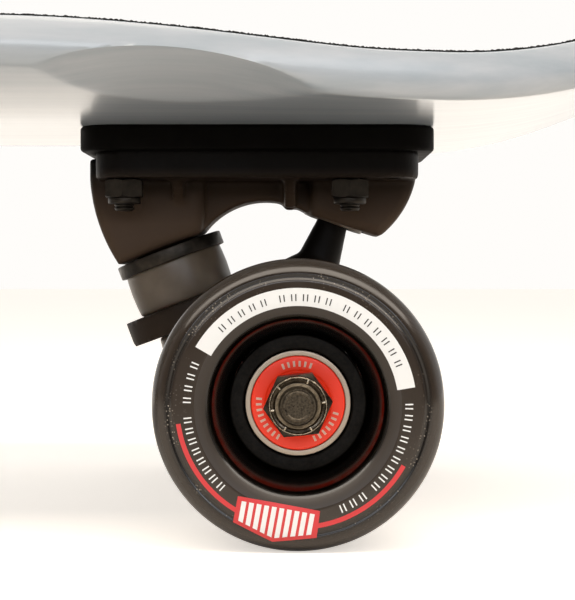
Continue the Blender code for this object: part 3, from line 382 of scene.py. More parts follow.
def turned(profile, steps=96, arc=tau):
    """A profile of (radius, height) points spun about Z. It is closed on itself unless it meets
    the axis."""
    shape = bmesh.new()
    points = [shape.verts.new((radius, 0, height)) for radius, height in profile]
    for first, second in zip(points, points[1:]):
        shape.edges.new((first, second))
    if all(radius > 0 for radius, _ in profile):
        shape.edges.new((points[-1], points[0]))
    bmesh.ops.spin(
        shape, geom=shape.verts[:] + shape.edges[:], cent=(0, 0, 0), axis=(0, 0, 1),
        angle=arc, steps=steps, use_merge=arc == tau,
    )
    bmesh.ops.remove_doubles(shape, verts=shape.verts, dist=1e-7)
    bmesh.ops.recalc_face_normals(shape, faces=shape.faces)
    return shape


def about(height, *points):
    """Profile points, each a radius and a rise above the height, both in mm."""
    return [(radius * MM, height + rise * MM) for radius, rise in points]


def rod(radius, low, high):
    """The profile of a solid rod."""
    return [(0, low), (radius, low), (radius, high), (0, high)]


def pipe(bore, radius, low, high):
    """The profile of a pipe."""
    return [(bore, low), (radius, low), (radius, high), (bore, high)]


def ease(shape, size, steps=2, chosen=None, sharper=radians(25)):
    """Round the sharp edges of a shape, or those of them that are chosen."""
    edges = [
        edge for edge in shape.edges
        if len(edge.link_faces) == 2 and edge.calc_face_angle(0) > sharper
        and (chosen is None or chosen(edge))
    ]
    bmesh.ops.bevel(
        shape, geom=edges, offset=size, segments=steps, profile=0.5, affect="EDGES", material=-1,
        clamp_overlap=True,
    )
    return shape


def ring_at(radius, height):
    """Choose the edges of a turned shape that run round at a radius and a height, on both sides."""
    def chosen(edge):
        return all(
            abs(vert.co.xy.length - radius) < 0.05 * MM and abs(abs(vert.co.z) - height) < 0.02 * MM
            for vert in edge.verts
        )
    return chosen


def in_profile(edge):
    """Choose the edges of a shape drawn along Y that lie in its end faces."""
    return abs(edge.verts[0].co.y - edge.verts[1].co.y) < 1e-7


def drawn(outline, low, high, axis="Z"):
    """An outline of points drawn out from low to high along an axis, Z or Y."""
    shape = bmesh.new()
    places = [(a, b, low) if axis == "Z" else (a, low, b) for a, b in outline]
    side = shape.faces.new([shape.verts.new(place) for place in places])
    made = bmesh.ops.extrude_face_region(shape, geom=[side])
    end = [part for part in made["geom"] if isinstance(part, bmesh.types.BMVert)]
    step = (0, 0, high - low) if axis == "Z" else (0, high - low, 0)
    bmesh.ops.translate(shape, verts=end, vec=step)
    bmesh.ops.recalc_face_normals(shape, faces=shape.faces)
    return shape


def block(length, width, corner, low, high, centre_x, steps=8):
    """A flat block with rounded corners."""
    shape = bmesh.new()
    bmesh.ops.create_cube(shape, size=1)
    bmesh.ops.scale(shape, vec=(length, width, high - low), verts=shape.verts)
    bmesh.ops.translate(shape, vec=(centre_x, 0, (low + high) / 2), verts=shape.verts)
    upright = [edge for edge in shape.edges if abs(edge.verts[0].co.z - edge.verts[1].co.z) > 1e-7]
    bmesh.ops.bevel(
        shape, geom=upright, offset=corner, segments=steps, profile=0.5, affect="EDGES", material=-1
    )
    return shape


def turning(angle, axis="Z"):
    """Matrix that turns by an angle in degrees about an axis."""
    return Matrix.Rotation(radians(angle), 4, axis)


def moved(shape, matrix):
    """The shape, moved by a matrix."""
    bmesh.ops.transform(shape, matrix=matrix, verts=shape.verts)
    return shape


def joined(shapes):
    """Several shapes as one, still separate shells."""
    together = bmesh.new()
    for shape in shapes:
        mesh = bpy.data.meshes.new("joined")
        shape.to_mesh(mesh)
        shape.free()
        together.from_mesh(mesh)
        bpy.data.meshes.remove(mesh)
    return together


def shown(name, shape):
    """A new object in the scene that holds the shape, which is used up."""
    mesh = bpy.data.meshes.new(name)
    shape.to_mesh(mesh)
    shape.free()
    made = bpy.data.objects.new(name, mesh)
    bpy.context.scene.collection.objects.link(made)
    return made


def worked(shape, *steps, helpers=()):
    """Put a shape through modifiers, given as (kind, settings), and take the result."""
    holder = shown("worked", shape)
    for kind, settings in steps:
        step = holder.modifiers.new(kind.title(), kind)
        for key, value in settings.items():
            setattr(step, key, value)
    bpy.context.view_layer.update()
    seen = holder.evaluated_get(bpy.context.evaluated_depsgraph_get())
    made = bpy.data.meshes.new_from_object(seen)
    result = bmesh.new()
    result.from_mesh(made)
    bpy.data.meshes.remove(made)
    for thing in (holder, *helpers):
        spent = thing.data
        bpy.data.objects.remove(thing, do_unlink=True)
        bpy.data.meshes.remove(spent)
    return result


def carved(shape, *others, operation="DIFFERENCE"):
    """Cut other shapes out of a shape, join them to it, or keep what they share."""
    helpers = [shown("helper", other) for other in others]
    cut = {"operation": operation, "solver": "EXACT"}
    steps = [("BOOLEAN", {**cut, "object": helper}) for helper in helpers]
    return worked(shape, *steps, helpers=helpers)


def cast(shapes, grain, rounds):
    """Melt shapes that overlap into one casting, with fillets where they meet."""
    remesh = {"mode": "VOXEL", "voxel_size": grain, "adaptivity": 0.0}
    smooth = {"factor": 0.5, "iterations": rounds}
    return worked(joined(shapes), ("REMESH", remesh), ("SMOOTH", smooth))


def piece(name, shape, material, place=None, sharp=30):
    """A finished piece: its place is in its mesh, and its object sits at the origin."""
    if place is not None:
        moved(shape, place)
    bmesh.ops.recalc_face_normals(shape, faces=shape.faces)
    made = shown(name, shape)
    made.data.materials.append(material)
    made.data.shade_smooth()
    made.data.set_sharp_from_angle(angle=radians(sharp))
    return made


def fitted(made, body, slot, *nodes):
    """Let a piece ride on a body and stand for nodes of the frame, which are hidden. The slot is not used.
    """
    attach(made, body)
    if nodes:
        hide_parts(*nodes)
    return made


def hexagon(flats, low, high, chamfer, bore, steps):
    """A hexagonal nut with turned chamfers and an eased bore."""
    shape = bmesh.new()
    corner = flats / 2 / cos(pi / 6)
    bmesh.ops.create_circle(shape, segments=6, radius=corner, cap_ends=True)
    made = bmesh.ops.extrude_face_region(shape, geom=shape.faces[:])
    top = [part for part in made["geom"] if isinstance(part, bmesh.types.BMVert)]
    bmesh.ops.translate(shape, verts=shape.verts, vec=(0, 0, low))
    bmesh.ops.translate(shape, verts=top, vec=(0, 0, high - low))
    bmesh.ops.recalc_face_normals(shape, faces=shape.faces)
    face = flats / 2 - 0.1 * MM
    drop = (corner + 0.1 * MM - face) * tan(radians(28))
    wide = corner + 0.1 * MM
    limit = turned(
        [(0, low), (face, low), (wide, low + drop), (wide, high - drop), (face, high), (0, high)],
        steps,
    )
    shape = carved(shape, limit, operation="INTERSECT")
    over = 1 * MM
    lead = bore + chamfer
    hole = [
        (0, low - over), (lead + over, low - over), (bore, low + chamfer),
        (bore, high - chamfer), (lead + over, high + over), (0, high + over),
    ]
    return carved(shape, turned(hole, steps))


def threaded(radius, low, high, pitch, depth):
    """Profile points of a screw thread's flank, from low to high."""
    points = []
    count = int((high - low) / pitch)
    for turn in range(count):
        start = low + turn * pitch
        crest, root = start + 0.15 * pitch, start + 0.55 * pitch
        points += [(radius, start), (radius, crest), (radius - depth, root)]
    return points + [(radius, low + count * pitch)]


# Places


def wheel_place(truck, hand):
    """Matrix of a wheel: Z points outwards along the axle, and Y up."""
    side, turn = (-1, 0) if hand == "left" else (1, 180)
    place = Matrix.Translation((AXLE_X[truck], side * WHEEL_CENTRE, AXLE_Z))
    return place @ turning(turn) @ turning(90, "X")


def truck_place(truck):
    """Matrix of a truck: X points to its own end of the board."""
    turn = 0 if truck == "rear" else 180
    return Matrix.Translation((AXLE_X[truck], 0, AXLE_Z)) @ turning(turn)


def along_kingpin():
    """Matrix that lays Z down the kingpin from the middle of the hanger's ring."""
    return Matrix.Translation(RING_CENTRE) @ Matrix.Rotation(pi - KINGPIN_TILT, 4, "Y")


def along_stem():
    """Matrix that lays Z up the pivot stem from the centre of its round tip."""
    return Matrix.Translation(PIVOT) @ Matrix.Rotation(STEM_TILT, 4, "Y")


def by_kingpin(outward, down):
    """The (x, z) of a point outward from the kingpin towards the axle, and down from the ring."""
    point = along_kingpin() @ Vector((-outward, 0, down))
    return point.x, point.z


def by_stem(outward, up):
    """The (x, z) of a point outward from the pivot stem, and up from the centre of its tip."""
    point = along_stem() @ Vector((outward, 0, up))
    return point.x, point.z


def bow(start, end, rise, steps):
    """Points between two ends of an arc that rises to the left of their chord."""
    first, last = Vector(start), Vector(end)
    chord = last - first
    half = chord.length / 2
    radius = (half**2 + rise**2) / (2 * rise)
    left, ahead = Vector((-chord.y, chord.x)).normalized(), chord.normalized()
    centre = (first + last) / 2 - left * (radius - rise)
    swing = asin(half / radius)
    points = []
    for step in range(1, steps):
        angle = swing - 2 * swing * step / steps
        points.append(tuple(centre + radius * (left * cos(angle) - ahead * sin(angle))))
    return points


# Wheels, drawn with Z outwards from the middle of the wheel

TYRE_RADIUS = 30 * MM
TYRE_HALF = 22 * MM
LIP_RADIUS = 4.8 * MM
MOUTH_ROUND = 3.0 * MM
MOUTH_BEND = 4.43 * MM
MOUTH_RADIUS = 18.5 * MM
# The groove's two radii and its depth
GROOVE = (25.5 * MM, 26.9 * MM, 0.35 * MM)
CORE_RADIUS = 14.2 * MM
CORE_HALF = 12 * MM
BEARING_RADIUS = 11 * MM
BEARING_AT = 8.5 * MM
BEARING_HALF = 3.5 * MM
AXLE_RADIUS = 3.97 * MM
AXLE_PITCH = 1.058 * MM
NUT_FLATS = 12.4 * MM
NUT_TURN = -24
NUT_LOW = 13.6 * MM
NUT_HIGH = 19.2 * MM
COLLAR_HIGH = 21.0 * MM
NUT_STAKES = (32, 92, 161, 214, 264, 324)
PRINT_LIFT = 0.03 * MM
PRINT_TURN = {"rear_left": 0, "rear_right": 37, "front_left": 128, "front_right": 251}


def face_height(radius):
    """How far out the tyre's face stands at a radius: flat, then rolling over the lip or into
    the mouth."""
    past = max(0.0, radius - (TYRE_RADIUS - LIP_RADIUS))
    short = max(0.0, MOUTH_RADIUS + MOUTH_ROUND - radius)
    rolled = LIP_RADIUS - sqrt(LIP_RADIUS**2 - past**2)
    return TYRE_HALF - rolled - MOUTH_BEND + sqrt(MOUTH_BEND**2 - short**2)


def surface(radius):
    """How far out the tyre's skin stands at a radius, with its groove."""
    inner, outer, depth = GROOVE
    share = min(1.0, max(0.0, (radius - inner) / (outer - inner)))
    return face_height(radius) - depth * sin(pi * share) ** 2


def tyre():
    """The urethane body, with the weights that its material reads."""
    bore = CORE_RADIUS + SEAT
    profile = [(bore, CORE_HALF), (MOUTH_RADIUS, TYRE_HALF), (TYRE_RADIUS - LIP_RADIUS, TYRE_HALF)]
    inner, outer, _ = GROOVE
    for step in range(9):
        share = step / 8
        radius = inner + (outer - inner) * share
        profile.append((radius, surface(radius)))
    start = asin((outer - TYRE_RADIUS + LIP_RADIUS) / LIP_RADIUS)
    for step in range(1, 13):
        turn = start + (pi / 2 - start) * step / 12
        profile.append((
            TYRE_RADIUS - LIP_RADIUS * (1 - sin(turn)),
            TYRE_HALF - LIP_RADIUS * (1 - cos(turn)),
        ))
    profile += [(radius, -height) for radius, height in reversed(profile)]
    shape = turned(profile, 160)
    ease(shape, MOUTH_ROUND, 12, ring_at(MOUTH_RADIUS, TYRE_HALF))
    layers = shape.verts.layers.float
    dust, painted_groove_shade, painted_mouth_shade, tread, satin = (layers.new(weight) for weight in TYRE_WEIGHTS)
    for vert in shape.verts:
        radius = vert.co.xy.length / MM
        outside = abs(vert.co.z) > 15 * MM
        vert[dust] = max(0.0, 1 - abs(radius - 26.2) / 1.2) if outside else 0.0
        vert[tread] = 1.0 if radius > 29.8 and not outside else 0.0
        # Painted shade: the mouth's wall is darkened nearly to black
        vert[painted_mouth_shade] = min(1.0, max(0.0, (18.9 - radius) / 0.4))
        vert[satin] = 1.0 - vert[painted_mouth_shade] if radius < 20.6 or not outside else max(0.0, 21.6 - radius)
        # Painted shade: the groove's colour is darkened towards black
        vert[painted_groove_shade] = max(0.0, 1 - abs(radius - 26.5) / 1.1) if outside else 0.0
    return shape


def core():
    """The moulded core that shows as a dark ring round the bearing."""
    seat = BEARING_RADIUS + SEAT
    shoulder = 4.7 * MM
    end = CORE_HALF + 0.4 * MM
    profile = [
        (CORE_RADIUS, end), (seat, end), (seat, shoulder), (8.8 * MM, shoulder),
        (8.8 * MM, -shoulder), (seat, -shoulder), (seat, -end), (CORE_RADIUS, -end),
    ]
    return ease(turned(profile), 0.35 * MM, 3)


def bearing_race():
    """The outer race, its inner lip bevelled where the shield is pressed in."""
    lip = 9.8 * MM
    half = BEARING_HALF
    profile = [(lip, -half), (BEARING_RADIUS, -half), (BEARING_RADIUS, half), (lip, half)]
    return ease(turned(profile, 128), 0.22 * MM, 4)


def bearing_shield():
    """The pressed shield, with a rolled rim and a step down to its inner edge."""
    top = BEARING_HALF - 0.3 * MM
    profile = about(
        top, (6.15, -0.55), (6.15, -0.25), (6.7, -0.25), (7.0, 0), (9.62, 0), (9.78, -0.2),
        (9.78, -0.55),
    )
    return ease(turned(profile, 128), 0.08 * MM, 2)


def sleeve():
    """Both inner races, the spacer between them and the inner speed washer, on the axle."""
    bore = AXLE_RADIUS + SEAT
    race = 5.8 * MM
    shells = []
    for centre in (-BEARING_AT, BEARING_AT):
        profile = pipe(bore, race, centre - BEARING_HALF, centre + BEARING_HALF)
        shells.append(ease(turned(profile), 0.3 * MM, 3))
    gap = 0.02 * MM
    inner = BEARING_AT - BEARING_HALF - gap
    shells.append(ease(turned(pipe(bore, 5.2 * MM, -inner, inner)), 0.2 * MM))
    low = -CORE_HALF - 1.3 * MM
    shells.append(ease(turned(pipe(bore, 6.3 * MM, low, low + 1.28 * MM)), 0.15 * MM))
    return joined(shells)


def axle_nut():
    """The lock nut: a chamfered hexagon, its rolled collar, and the collar's rim with its stakes."""
    bore = AXLE_RADIUS + 0.15 * MM
    body = hexagon(NUT_FLATS, NUT_LOW, NUT_HIGH, 0.5 * MM, bore, 64)
    low, top = NUT_HIGH - 0.4 * MM, COLLAR_HIGH
    rolled = about(
        top, (6.0, -0.35), (5.9, -0.08), (5.76, 0), (5.6, -0.08), (5.5, -0.3), (5.02, -0.42),
        (4.9, -0.6),
    )
    ledge = NUT_HIGH + 0.5 * MM
    collar = [(bore, low), (6.0 * MM, low), *rolled, (4.84 * MM, ledge), (bore, ledge)]
    ring = ease(turned(collar), 0.05 * MM, 2)
    rim = about(
        top, (5.62, -0.2), (5.93, -0.2), (5.92, -0.06), (5.83, 0.03), (5.72, 0.03), (5.63, -0.06)
    )
    stakes = [turned(rim)]
    for angle in NUT_STAKES:
        stake = block(0.95 * MM, 0.36 * MM, 0.1 * MM, top - 0.6 * MM, top - 0.02 * MM, 5.35 * MM, 2)
        ease(stake, 0.08 * MM, 2)
        stakes.append(moved(stake, turning(angle)))
    return body, ring, joined(stakes)


def nut_insert():
    """The locking insert that grips the thread, its end face marked by fine turned rings."""
    inner = AXLE_RADIUS - 0.05 * MM
    top = COLLAR_HIGH - 0.2 * MM
    profile = [(inner, NUT_HIGH + 0.55 * MM), (4.62 * MM, NUT_HIGH + 0.55 * MM), (4.62 * MM, top)]
    for ring in range(3):
        radius = 4.54 * MM - ring * 0.2 * MM
        profile += [(radius, top + 0.03 * MM), (radius - 0.1 * MM, top - 0.05 * MM)]
    return turned([*profile, (inner, top - 0.1 * MM)], 64)


def closed(shape, corners):
    """The shape with its open ends filled, each with so many corners."""
    ends = [edge for edge in shape.edges if edge.is_boundary]
    bmesh.ops.holes_fill(shape, edges=ends, sides=corners)
    return shape


def print_arc(inner, outer, start, end, rise=0.0):
    """Ink that lies on the tyre's face between two radii in mm and two angles in degrees."""
    top = []
    count = 7
    for step in range(count):
        radius = (inner + (outer - inner) * step / (count - 1)) * MM
        top.append((radius, face_height(radius) + PRINT_LIFT + rise))
    under = [(radius, height - 2 * PRINT_LIFT) for radius, height in reversed(top)]
    arc = radians(end - start)
    shape = closed(turned(top + under, max(2, int(end - start)), arc), 2 * count)
    return moved(shape, turning(start))


def ticks(middle, tall, wide, words, rise=0.0):
    """Plain radial ticks where a maker would put words: each word is (first, last, letters),
    in degrees, and each of its letters gives way to two thin ticks."""
    shells = []
    low, high = middle - tall / 2, middle + tall / 2
    half = degrees(wide / 2 / middle)
    apart = degrees(0.42 / middle)
    for first, last, letters in words:
        for letter in range(letters):
            angle = first + (last - first) * letter / (letters - 1)
            for side in (-1, 1):
                turn = angle + side * apart
                shells.append(print_arc(low, high, turn - half, turn + half, rise))
    return joined(shells)


BADGE_CORNER = (-12.16, -18.13)
BADGE_TILT = -10.3
BADGE = ((0, 0), (16.9, 0), (17.2, -5.5), (8.5, -8.0), (-0.05, -5.4))


def draped(outlines, rise):
    """Flat outlines in the badge's own mm, laid on the tyre as ink that follows its skin."""
    grain = 0.8
    shape = joined([drawn(outline, 0, 1) for outline in outlines])
    for normal, spread_to in (((1, 0, 0), 18), ((0, 1, 0), 9)):
        for cut in range(1, int(spread_to / grain)):
            bmesh.ops.bisect_plane(
                shape, geom=shape.verts[:] + shape.edges[:] + shape.faces[:],
                plane_co=(cut * grain * normal[0], -cut * grain * normal[1], 0), plane_no=normal,
            )
    lay = Matrix.Translation((*BADGE_CORNER, 0)) @ turning(BADGE_TILT)
    for vert in shape.verts:
        place = lay @ vert.co
        radius = place.xy.length * MM
        height = surface(radius) - PRINT_LIFT
        if vert.co.z > 0.5:
            height = face_height(radius) + PRINT_LIFT + rise
        vert.co = (place.x * MM, place.y * MM, height)
    return shape


def badge_bars():
    """Plain upright bars that fill the badge."""
    outlines = []
    for number in range(10):
        start = 0.95 + 1.56 * number
        end = start + 0.98
        low = [max(5.4 + 0.306 * u, 0) if u < 8.5 else 8.0 - 0.287 * (u - 8.5) for u in (start, end)]
        outlines.append([(start, -0.85), (start, -low[0] + 0.8), (end, -low[1] + 0.8), (end, -0.85)])
    return draped(outlines, PRINT_LIFT)


def shield_dashes():
    """Short plain dashes in three groups round the shield."""
    high = BEARING_AT + BEARING_HALF - 0.3 * MM
    section = pipe(7.55 * MM, 8.75 * MM, high - 0.02 * MM, high + 0.03 * MM)
    shells = []
    for middle, count in ((90, 6), (205, 9), (318, 7)):
        for number in range(count):
            angle = middle + (number - (count - 1) / 2) * 8.2
            dash = closed(turned(section, 4, radians(3.4)), 4)
            shells.append(moved(dash, turning(angle)))
    return joined(shells)


def tyre_prints():
    """The tyre's prints as (label, shape, ink), at their radii in mm and angles in degrees."""
    band_words = [(134, 108.4, 5), (98.4, 73.7, 5), (63.6, 23.3, 7)]
    side_words = [(158.4, 176.8, 4), (187.1, 226, 8), (293.9, 305.6, 3), (314.2, 360, 9)]
    arcs = [print_arc(24.0, 24.95, start, end) for start, end in ((188.3, 240.5), (279, 330.7))]
    return (
        ("white_band", print_arc(20.35, 24.0, 9.4, 149.8), WHITE_INK),
        ("band_ticks", ticks(22.05, 1.4, 0.24, band_words, PRINT_LIFT), DARK_INK),
        ("side_ticks", ticks(22.5, 1.6, 0.27, side_words), WHITE_INK),
        ("red_arcs", joined(arcs), RED_INK),
        ("badge", draped([BADGE], PRINT_LIFT / 2), RED_INK),
        ("badge_bars", badge_bars(), WHITE_INK),
    )


def build_wheels():
    """Four wheels, each with its tyre, prints, bearings, sleeve, washer and nut."""
    flip = turning(180, "X")
    outboard = Matrix.Translation((0, 0, BEARING_AT))
    inboard = flip @ outboard
    nut, collar, rim = axle_nut()
    washer = ease(turned(pipe(4.3 * MM, 6.2 * MM, 12.3 * MM, 13.3 * MM)), 0.15 * MM)
    patterns = {
        "tyre": (tyre(), URETHANE, "wheel_urethane", 40),
        "core": (core(), NYLON, "core_plastic", 30),
        "race": (bearing_race(), RACE, "red_shield", 30),
        "shield": (bearing_shield(), SHIELD, "red_shield", 25),
        "sleeve": (sleeve(), RACE, "plated_steel", 30),
        "washer": (washer, BRIGHT, "plated_steel", 30),
        "nut": (nut, BLACKED, "blackened_steel", 25),
        "collar": (collar, GUNMETAL, "blackened_steel", 25),
        "rim": (rim, RUBBED_EDGE, "blackened_steel", 25),
        "insert": (nut_insert(), AGED_RING, "blackened_steel", 30),
        "shield_dashes": (shield_dashes(), PALE_INK, "red_shield", 40),
    }
    printed = ["shield_dashes"]
    for label, shape, ink in tyre_prints():
        patterns[label] = (shape, ink, "wheel_urethane", 40)
        printed.append(label)
    for truck, hand in WHEELS:
        wheel = f"{truck}_{hand}"
        rolling, hung = "wheel_" + wheel, "hanger_assembly_" + truck
        place = wheel_place(truck, hand)
        spun = place @ turning(PRINT_TURN[wheel])
        screwed = place @ turning(NUT_TURN)
        rows = [
            ("tyre", "tyre_body", place, rolling, "tyre"),
            ("core", "core_ring", place, rolling, "wheel_core"),
        ]
        for label, side in (("outboard", outboard), ("inboard", inboard)):
            rows.append(("race", "bearing_race_" + label, place @ side, rolling, "bearing_" + label))
            rows.append(("shield", "bearing_shield_" + label, place @ side, rolling, None))
        rows += [(pattern, pattern, spun, rolling, None) for pattern in printed]
        rows += [
            ("sleeve", "bearing_inner_races", place, hung, "bearing_sleeve"),
            ("washer", "speed_washer", place, hung, "axle_washer"),
            ("nut", "lock_nut", screwed, hung, "axle_nut"),
            ("collar", "lock_nut_collar", screwed, hung, None),
            ("rim", "lock_nut_rim", screwed, hung, None),
            ("insert", "lock_nut_insert", place, hung, None),
        ]
        for pattern, label, at, body, stands_for in rows:
            shape, material, slot, sharp = patterns[pattern]
            made = piece(f"{label}_{wheel}", shape.copy(), material, at, sharp)
            fitted(made, body, slot, *([f"{stands_for}_{wheel}"] if stands_for else []))
    for shape, *_ in patterns.values():
        shape.free()


# Trucks, drawn from the middle of the axle with X towards their own end of the board

UNDER = PLATE_Z - PLATE_THICKNESS
PAD_FACE = -16.8 * MM
HOUSING_FACE = PAD_FACE - 0.5 * MM
PAD_RADIUS = 6.8 * MM
CUP_MOUTH = -7.5 * MM
KINGPIN_RADIUS = 4.75 * MM
KINGPIN_PITCH = 1.058 * MM
KINGPIN_END = 23.0 * MM
KINGPIN_NUT_FLATS = 14.3 * MM
HEAD_RADIUS = 5.8 * MM
HEAD_HIGH = PLATE_Z - 1.5 * MM - RING_HEIGHT
KINGPIN_HEAD = -(HEAD_HIGH - HEAD_RADIUS * sin(KINGPIN_TILT)) / cos(KINGPIN_TILT)
RING_RADIUS = 16.5 * MM
RING_HALF = 3.1 * MM
BUSHING_RADIUS = 12.6 * MM
BOLT_RADIUS = 2.4 * MM
BOLT_PITCH = 0.79 * MM
BOLT_NUT_FLATS = 8.7 * MM
BOLT_NUT_HEIGHT = 5.8 * MM
BOLT_KEY = 1.9 * MM


def upright(radius, low, high, x, y, steps=32):
    """A rod that stands at a place on the plate."""
    return moved(turned(rod(radius, low, high), steps), Matrix.Translation((x, y, 0)))


def plate_bolt_holes(radius, low, high):
    """The six upright holes that riser and baseplate share."""
    return [
        upright(radius, low, high, x, side * BOLT_Y)
        for x in (*BOLT_OFFSETS, SPARE_OFFSET) for side in (-1, 1)
    ]


def dome(radius):
    """Profile points of a round tip, from its crown most of the way to its equator."""
    return [(radius * sin(turn), radius * cos(turn)) for turn in (0, 0.3, 0.6, 0.9, 1.2)]


def riser():
    """The moulded pad, with eased rims."""
    shape = block(RISER_LENGTH, RISER_WIDTH, 9 * MM, RISER_Z, DECK_LOW - 0.02 * MM, -PLATE_SETBACK)
    ease(shape, 0.9 * MM, 4, sharper=radians(60))
    return carved(shape, *plate_bolt_holes(2.8 * MM, RISER_Z - MM, RISER_Z + 7 * MM))


def baseplate():
    """The cast plate with its kingpin housing, arch and pivot housing, ribbed underneath."""
    inside = UNDER + PLATE_THICKNESS / 2
    left = -PLATE_SETBACK - PLATE_LENGTH / 2 - 2.6 * MM
    right = -PLATE_SETBACK + PLATE_LENGTH / 2
    half_housing = 12.2 * MM
    low = by_kingpin(-half_housing, HOUSING_FACE)
    near = by_kingpin(9.6 * MM, HOUSING_FACE)
    far = by_kingpin(half_housing, HOUSING_FACE - 4.5 * MM)
    mouth_left = by_stem(-6 * MM, CUP_MOUTH)
    mouth_tip = by_stem(12.0 * MM, CUP_MOUTH + 0.9 * MM)
    top = PLATE_Z - 0.6 * MM
    plate = block(PLATE_LENGTH, PLATE_WIDTH, 8 * MM, UNDER, RISER_Z + 0.3 * MM, -PLATE_SETBACK, 10)
    kingpin_housing = drawn(
        [
            (left, top), (left, UNDER), *reversed(bow(low, (left, UNDER), 1.4 * MM, 8)),
            low, near, far, (far[0], top),
        ],
        -half_housing, half_housing, "Y",
    )
    ease(kingpin_housing, 2.2 * MM, 3, in_profile)
    web = drawn(
        [
            (low[0], inside), by_kingpin(-PAD_RADIUS, HOUSING_FACE - 2.2 * MM), near,
            *bow(near, mouth_left, 5.6 * MM, 16), mouth_left, by_stem(0, CUP_MOUTH / 2),
            (by_stem(0, CUP_MOUTH)[0], inside),
        ],
        -8 * MM, 8 * MM, "Y",
    )
    pivot_housing = drawn(
        [
            (mouth_left[0], inside), mouth_left, mouth_tip,
            *reversed(bow((right, UNDER), mouth_tip, 1.4 * MM, 8)),
            (right, UNDER), (right - 2 * MM, inside),
        ],
        -11.2 * MM, 11.2 * MM, "Y",
    )
    ease(pivot_housing, 2.2 * MM, 3, in_profile)
    pad = moved(turned(rod(PAD_RADIUS, HOUSING_FACE - 2 * MM, PAD_FACE), 48), along_kingpin())
    ribs = []
    for x, wide in ((-29 * MM, 22.5 * MM), (-2 * MM, 23.5 * MM)):
        stand = Matrix(((0, 0, 1, x), (1, 0, 0, 0), (0, 1, 0, 0), (0, 0, 0, 1)))
        for side in (-1, 1):
            rib = [
                (side * 6 * MM, UNDER + MM), (side * wide, UNDER + MM),
                (side * 11 * MM, UNDER - 6.5 * MM), (side * 6 * MM, UNDER - 6.5 * MM),
            ]
            ribs.append(moved(drawn(rib, -1.4 * MM, 1.4 * MM), stand))
    body = cast([plate, kingpin_housing, web, pivot_housing, pad, *ribs], 0.62 * MM, 5)
    flat = block(0.2, 0.2, MM, RISER_Z - 0.02 * MM, PLATE_Z + 9 * MM, 0, 1)
    seats = plate_bolt_holes(5.6 * MM, UNDER - 9 * MM, UNDER - 0.02 * MM)
    pocket = about(0, (0, 5.5), (4.5, 5.5), (8.2, 0), (8.2, -12), (0, -12))
    pocket = moved(turned(pocket, 48), along_stem())
    bore = KINGPIN_RADIUS + SEAT
    seat = KINGPIN_HEAD + 4.3 * MM
    above = 2 * KINGPIN_HEAD
    hole = [(0, above), (6.1 * MM, above), (6.1 * MM, seat), (bore, seat), (bore, 0), (0, 0)]
    hole = moved(turned(hole, 48), along_kingpin())
    return carved(body, flat, *seats, pocket, hole, *plate_bolt_holes(2.7 * MM, 0, 80 * MM))


def pivot_cup():
    """The urethane cup, whose lip shows at the mouth of its housing."""
    bore = 4.5 * MM
    profile = [
        (0, 5.9 * MM), (4.2 * MM, 5.9 * MM), (7.6 * MM, 0), (7.6 * MM, CUP_MOUTH),
        (6.1 * MM, CUP_MOUTH), (bore, 0), *reversed(dome(bore)),
    ]
    return ease(turned(profile, 64), 0.3 * MM, 2, sharper=radians(50))


def hanger():
    """The cast hanger: axle beam, bushing ring and pivot stem, with machined ends and bore."""
    middle, shoulder, end = 9.0 * MM, 9.8 * MM, 8.4 * MM
    at = 30 * MM
    profile = [
        (0, -HANGER_HALF), (end, -HANGER_HALF), (shoulder, -at), (middle, 0),
        (shoulder, at), (end, HANGER_HALF), (0, HANGER_HALF),
    ]
    across = turning(90, "X")
    beam = moved(turned(profile, 64), across)
    ring = moved(turned(pipe(8 * MM, RING_RADIUS, -RING_HALF, RING_HALF), 64), along_kingpin())
    tip = 4.2 * MM
    root = -17.5 * MM
    stem = [
        *dome(tip), (tip, 0), (3.9 * MM, CUP_MOUTH), (5.4 * MM, root), (5.4 * MM, root - 2 * MM),
        (0, root - 2 * MM),
    ]
    stem = moved(turned(stem, 48), along_stem())
    web = bmesh.new()
    swing = acos(12.5 * MM / RING_RADIUS)
    corners = []
    for share in (-1, -0.5, 0, 0.5, 1):
        angle = swing * share
        for side in (-1, 1):
            across_x, across_y = -RING_RADIUS * cos(angle), RING_RADIUS * sin(angle)
            corners.append(along_kingpin() @ Vector((across_x, across_y, side * 2.8 * MM)))
    circle = [(cos(tau * step / 24), sin(tau * step / 24)) for step in range(24)]
    beam_radius, stem_radius = 6.2 * MM, 5.9 * MM
    for side in (-1, 1):
        corners += [Vector((beam_radius * a, side * 26 * MM, beam_radius * b)) for a, b in circle]
    corners += [along_stem() @ Vector((stem_radius * a, stem_radius * b, root)) for a, b in circle]
    for corner in corners:
        web.verts.new(corner)
    hull = bmesh.ops.convex_hull(web, input=web.verts)
    spare = {part for part in hull["geom_interior"] if isinstance(part, bmesh.types.BMVert)}
    bmesh.ops.delete(web, geom=list(spare), context="VERTS")
    body = cast([beam, ring, stem, web], 0.62 * MM, 6)
    cuts = [moved(turned(rod(AXLE_RADIUS + 0.1 * MM, -60 * MM, 60 * MM), 48), across)]
    for side in (-1, 1):
        trim = turned(rod(12 * MM, HANGER_HALF - 0.15 * MM, HANGER_HALF + 5 * MM), 32)
        cuts.append(moved(trim, turning(-90 * side, "X")))
    seat = BUSHING_RADIUS + 0.6 * MM
    for radius, low, high in (
        (8 * MM, -6 * MM, 6 * MM), (seat, -9 * MM, -RING_HALF), (seat, RING_HALF, 9 * MM),
    ):
        cuts.append(moved(turned(rod(radius, low, high), 48), along_kingpin()))
    return carved(body, *cuts)


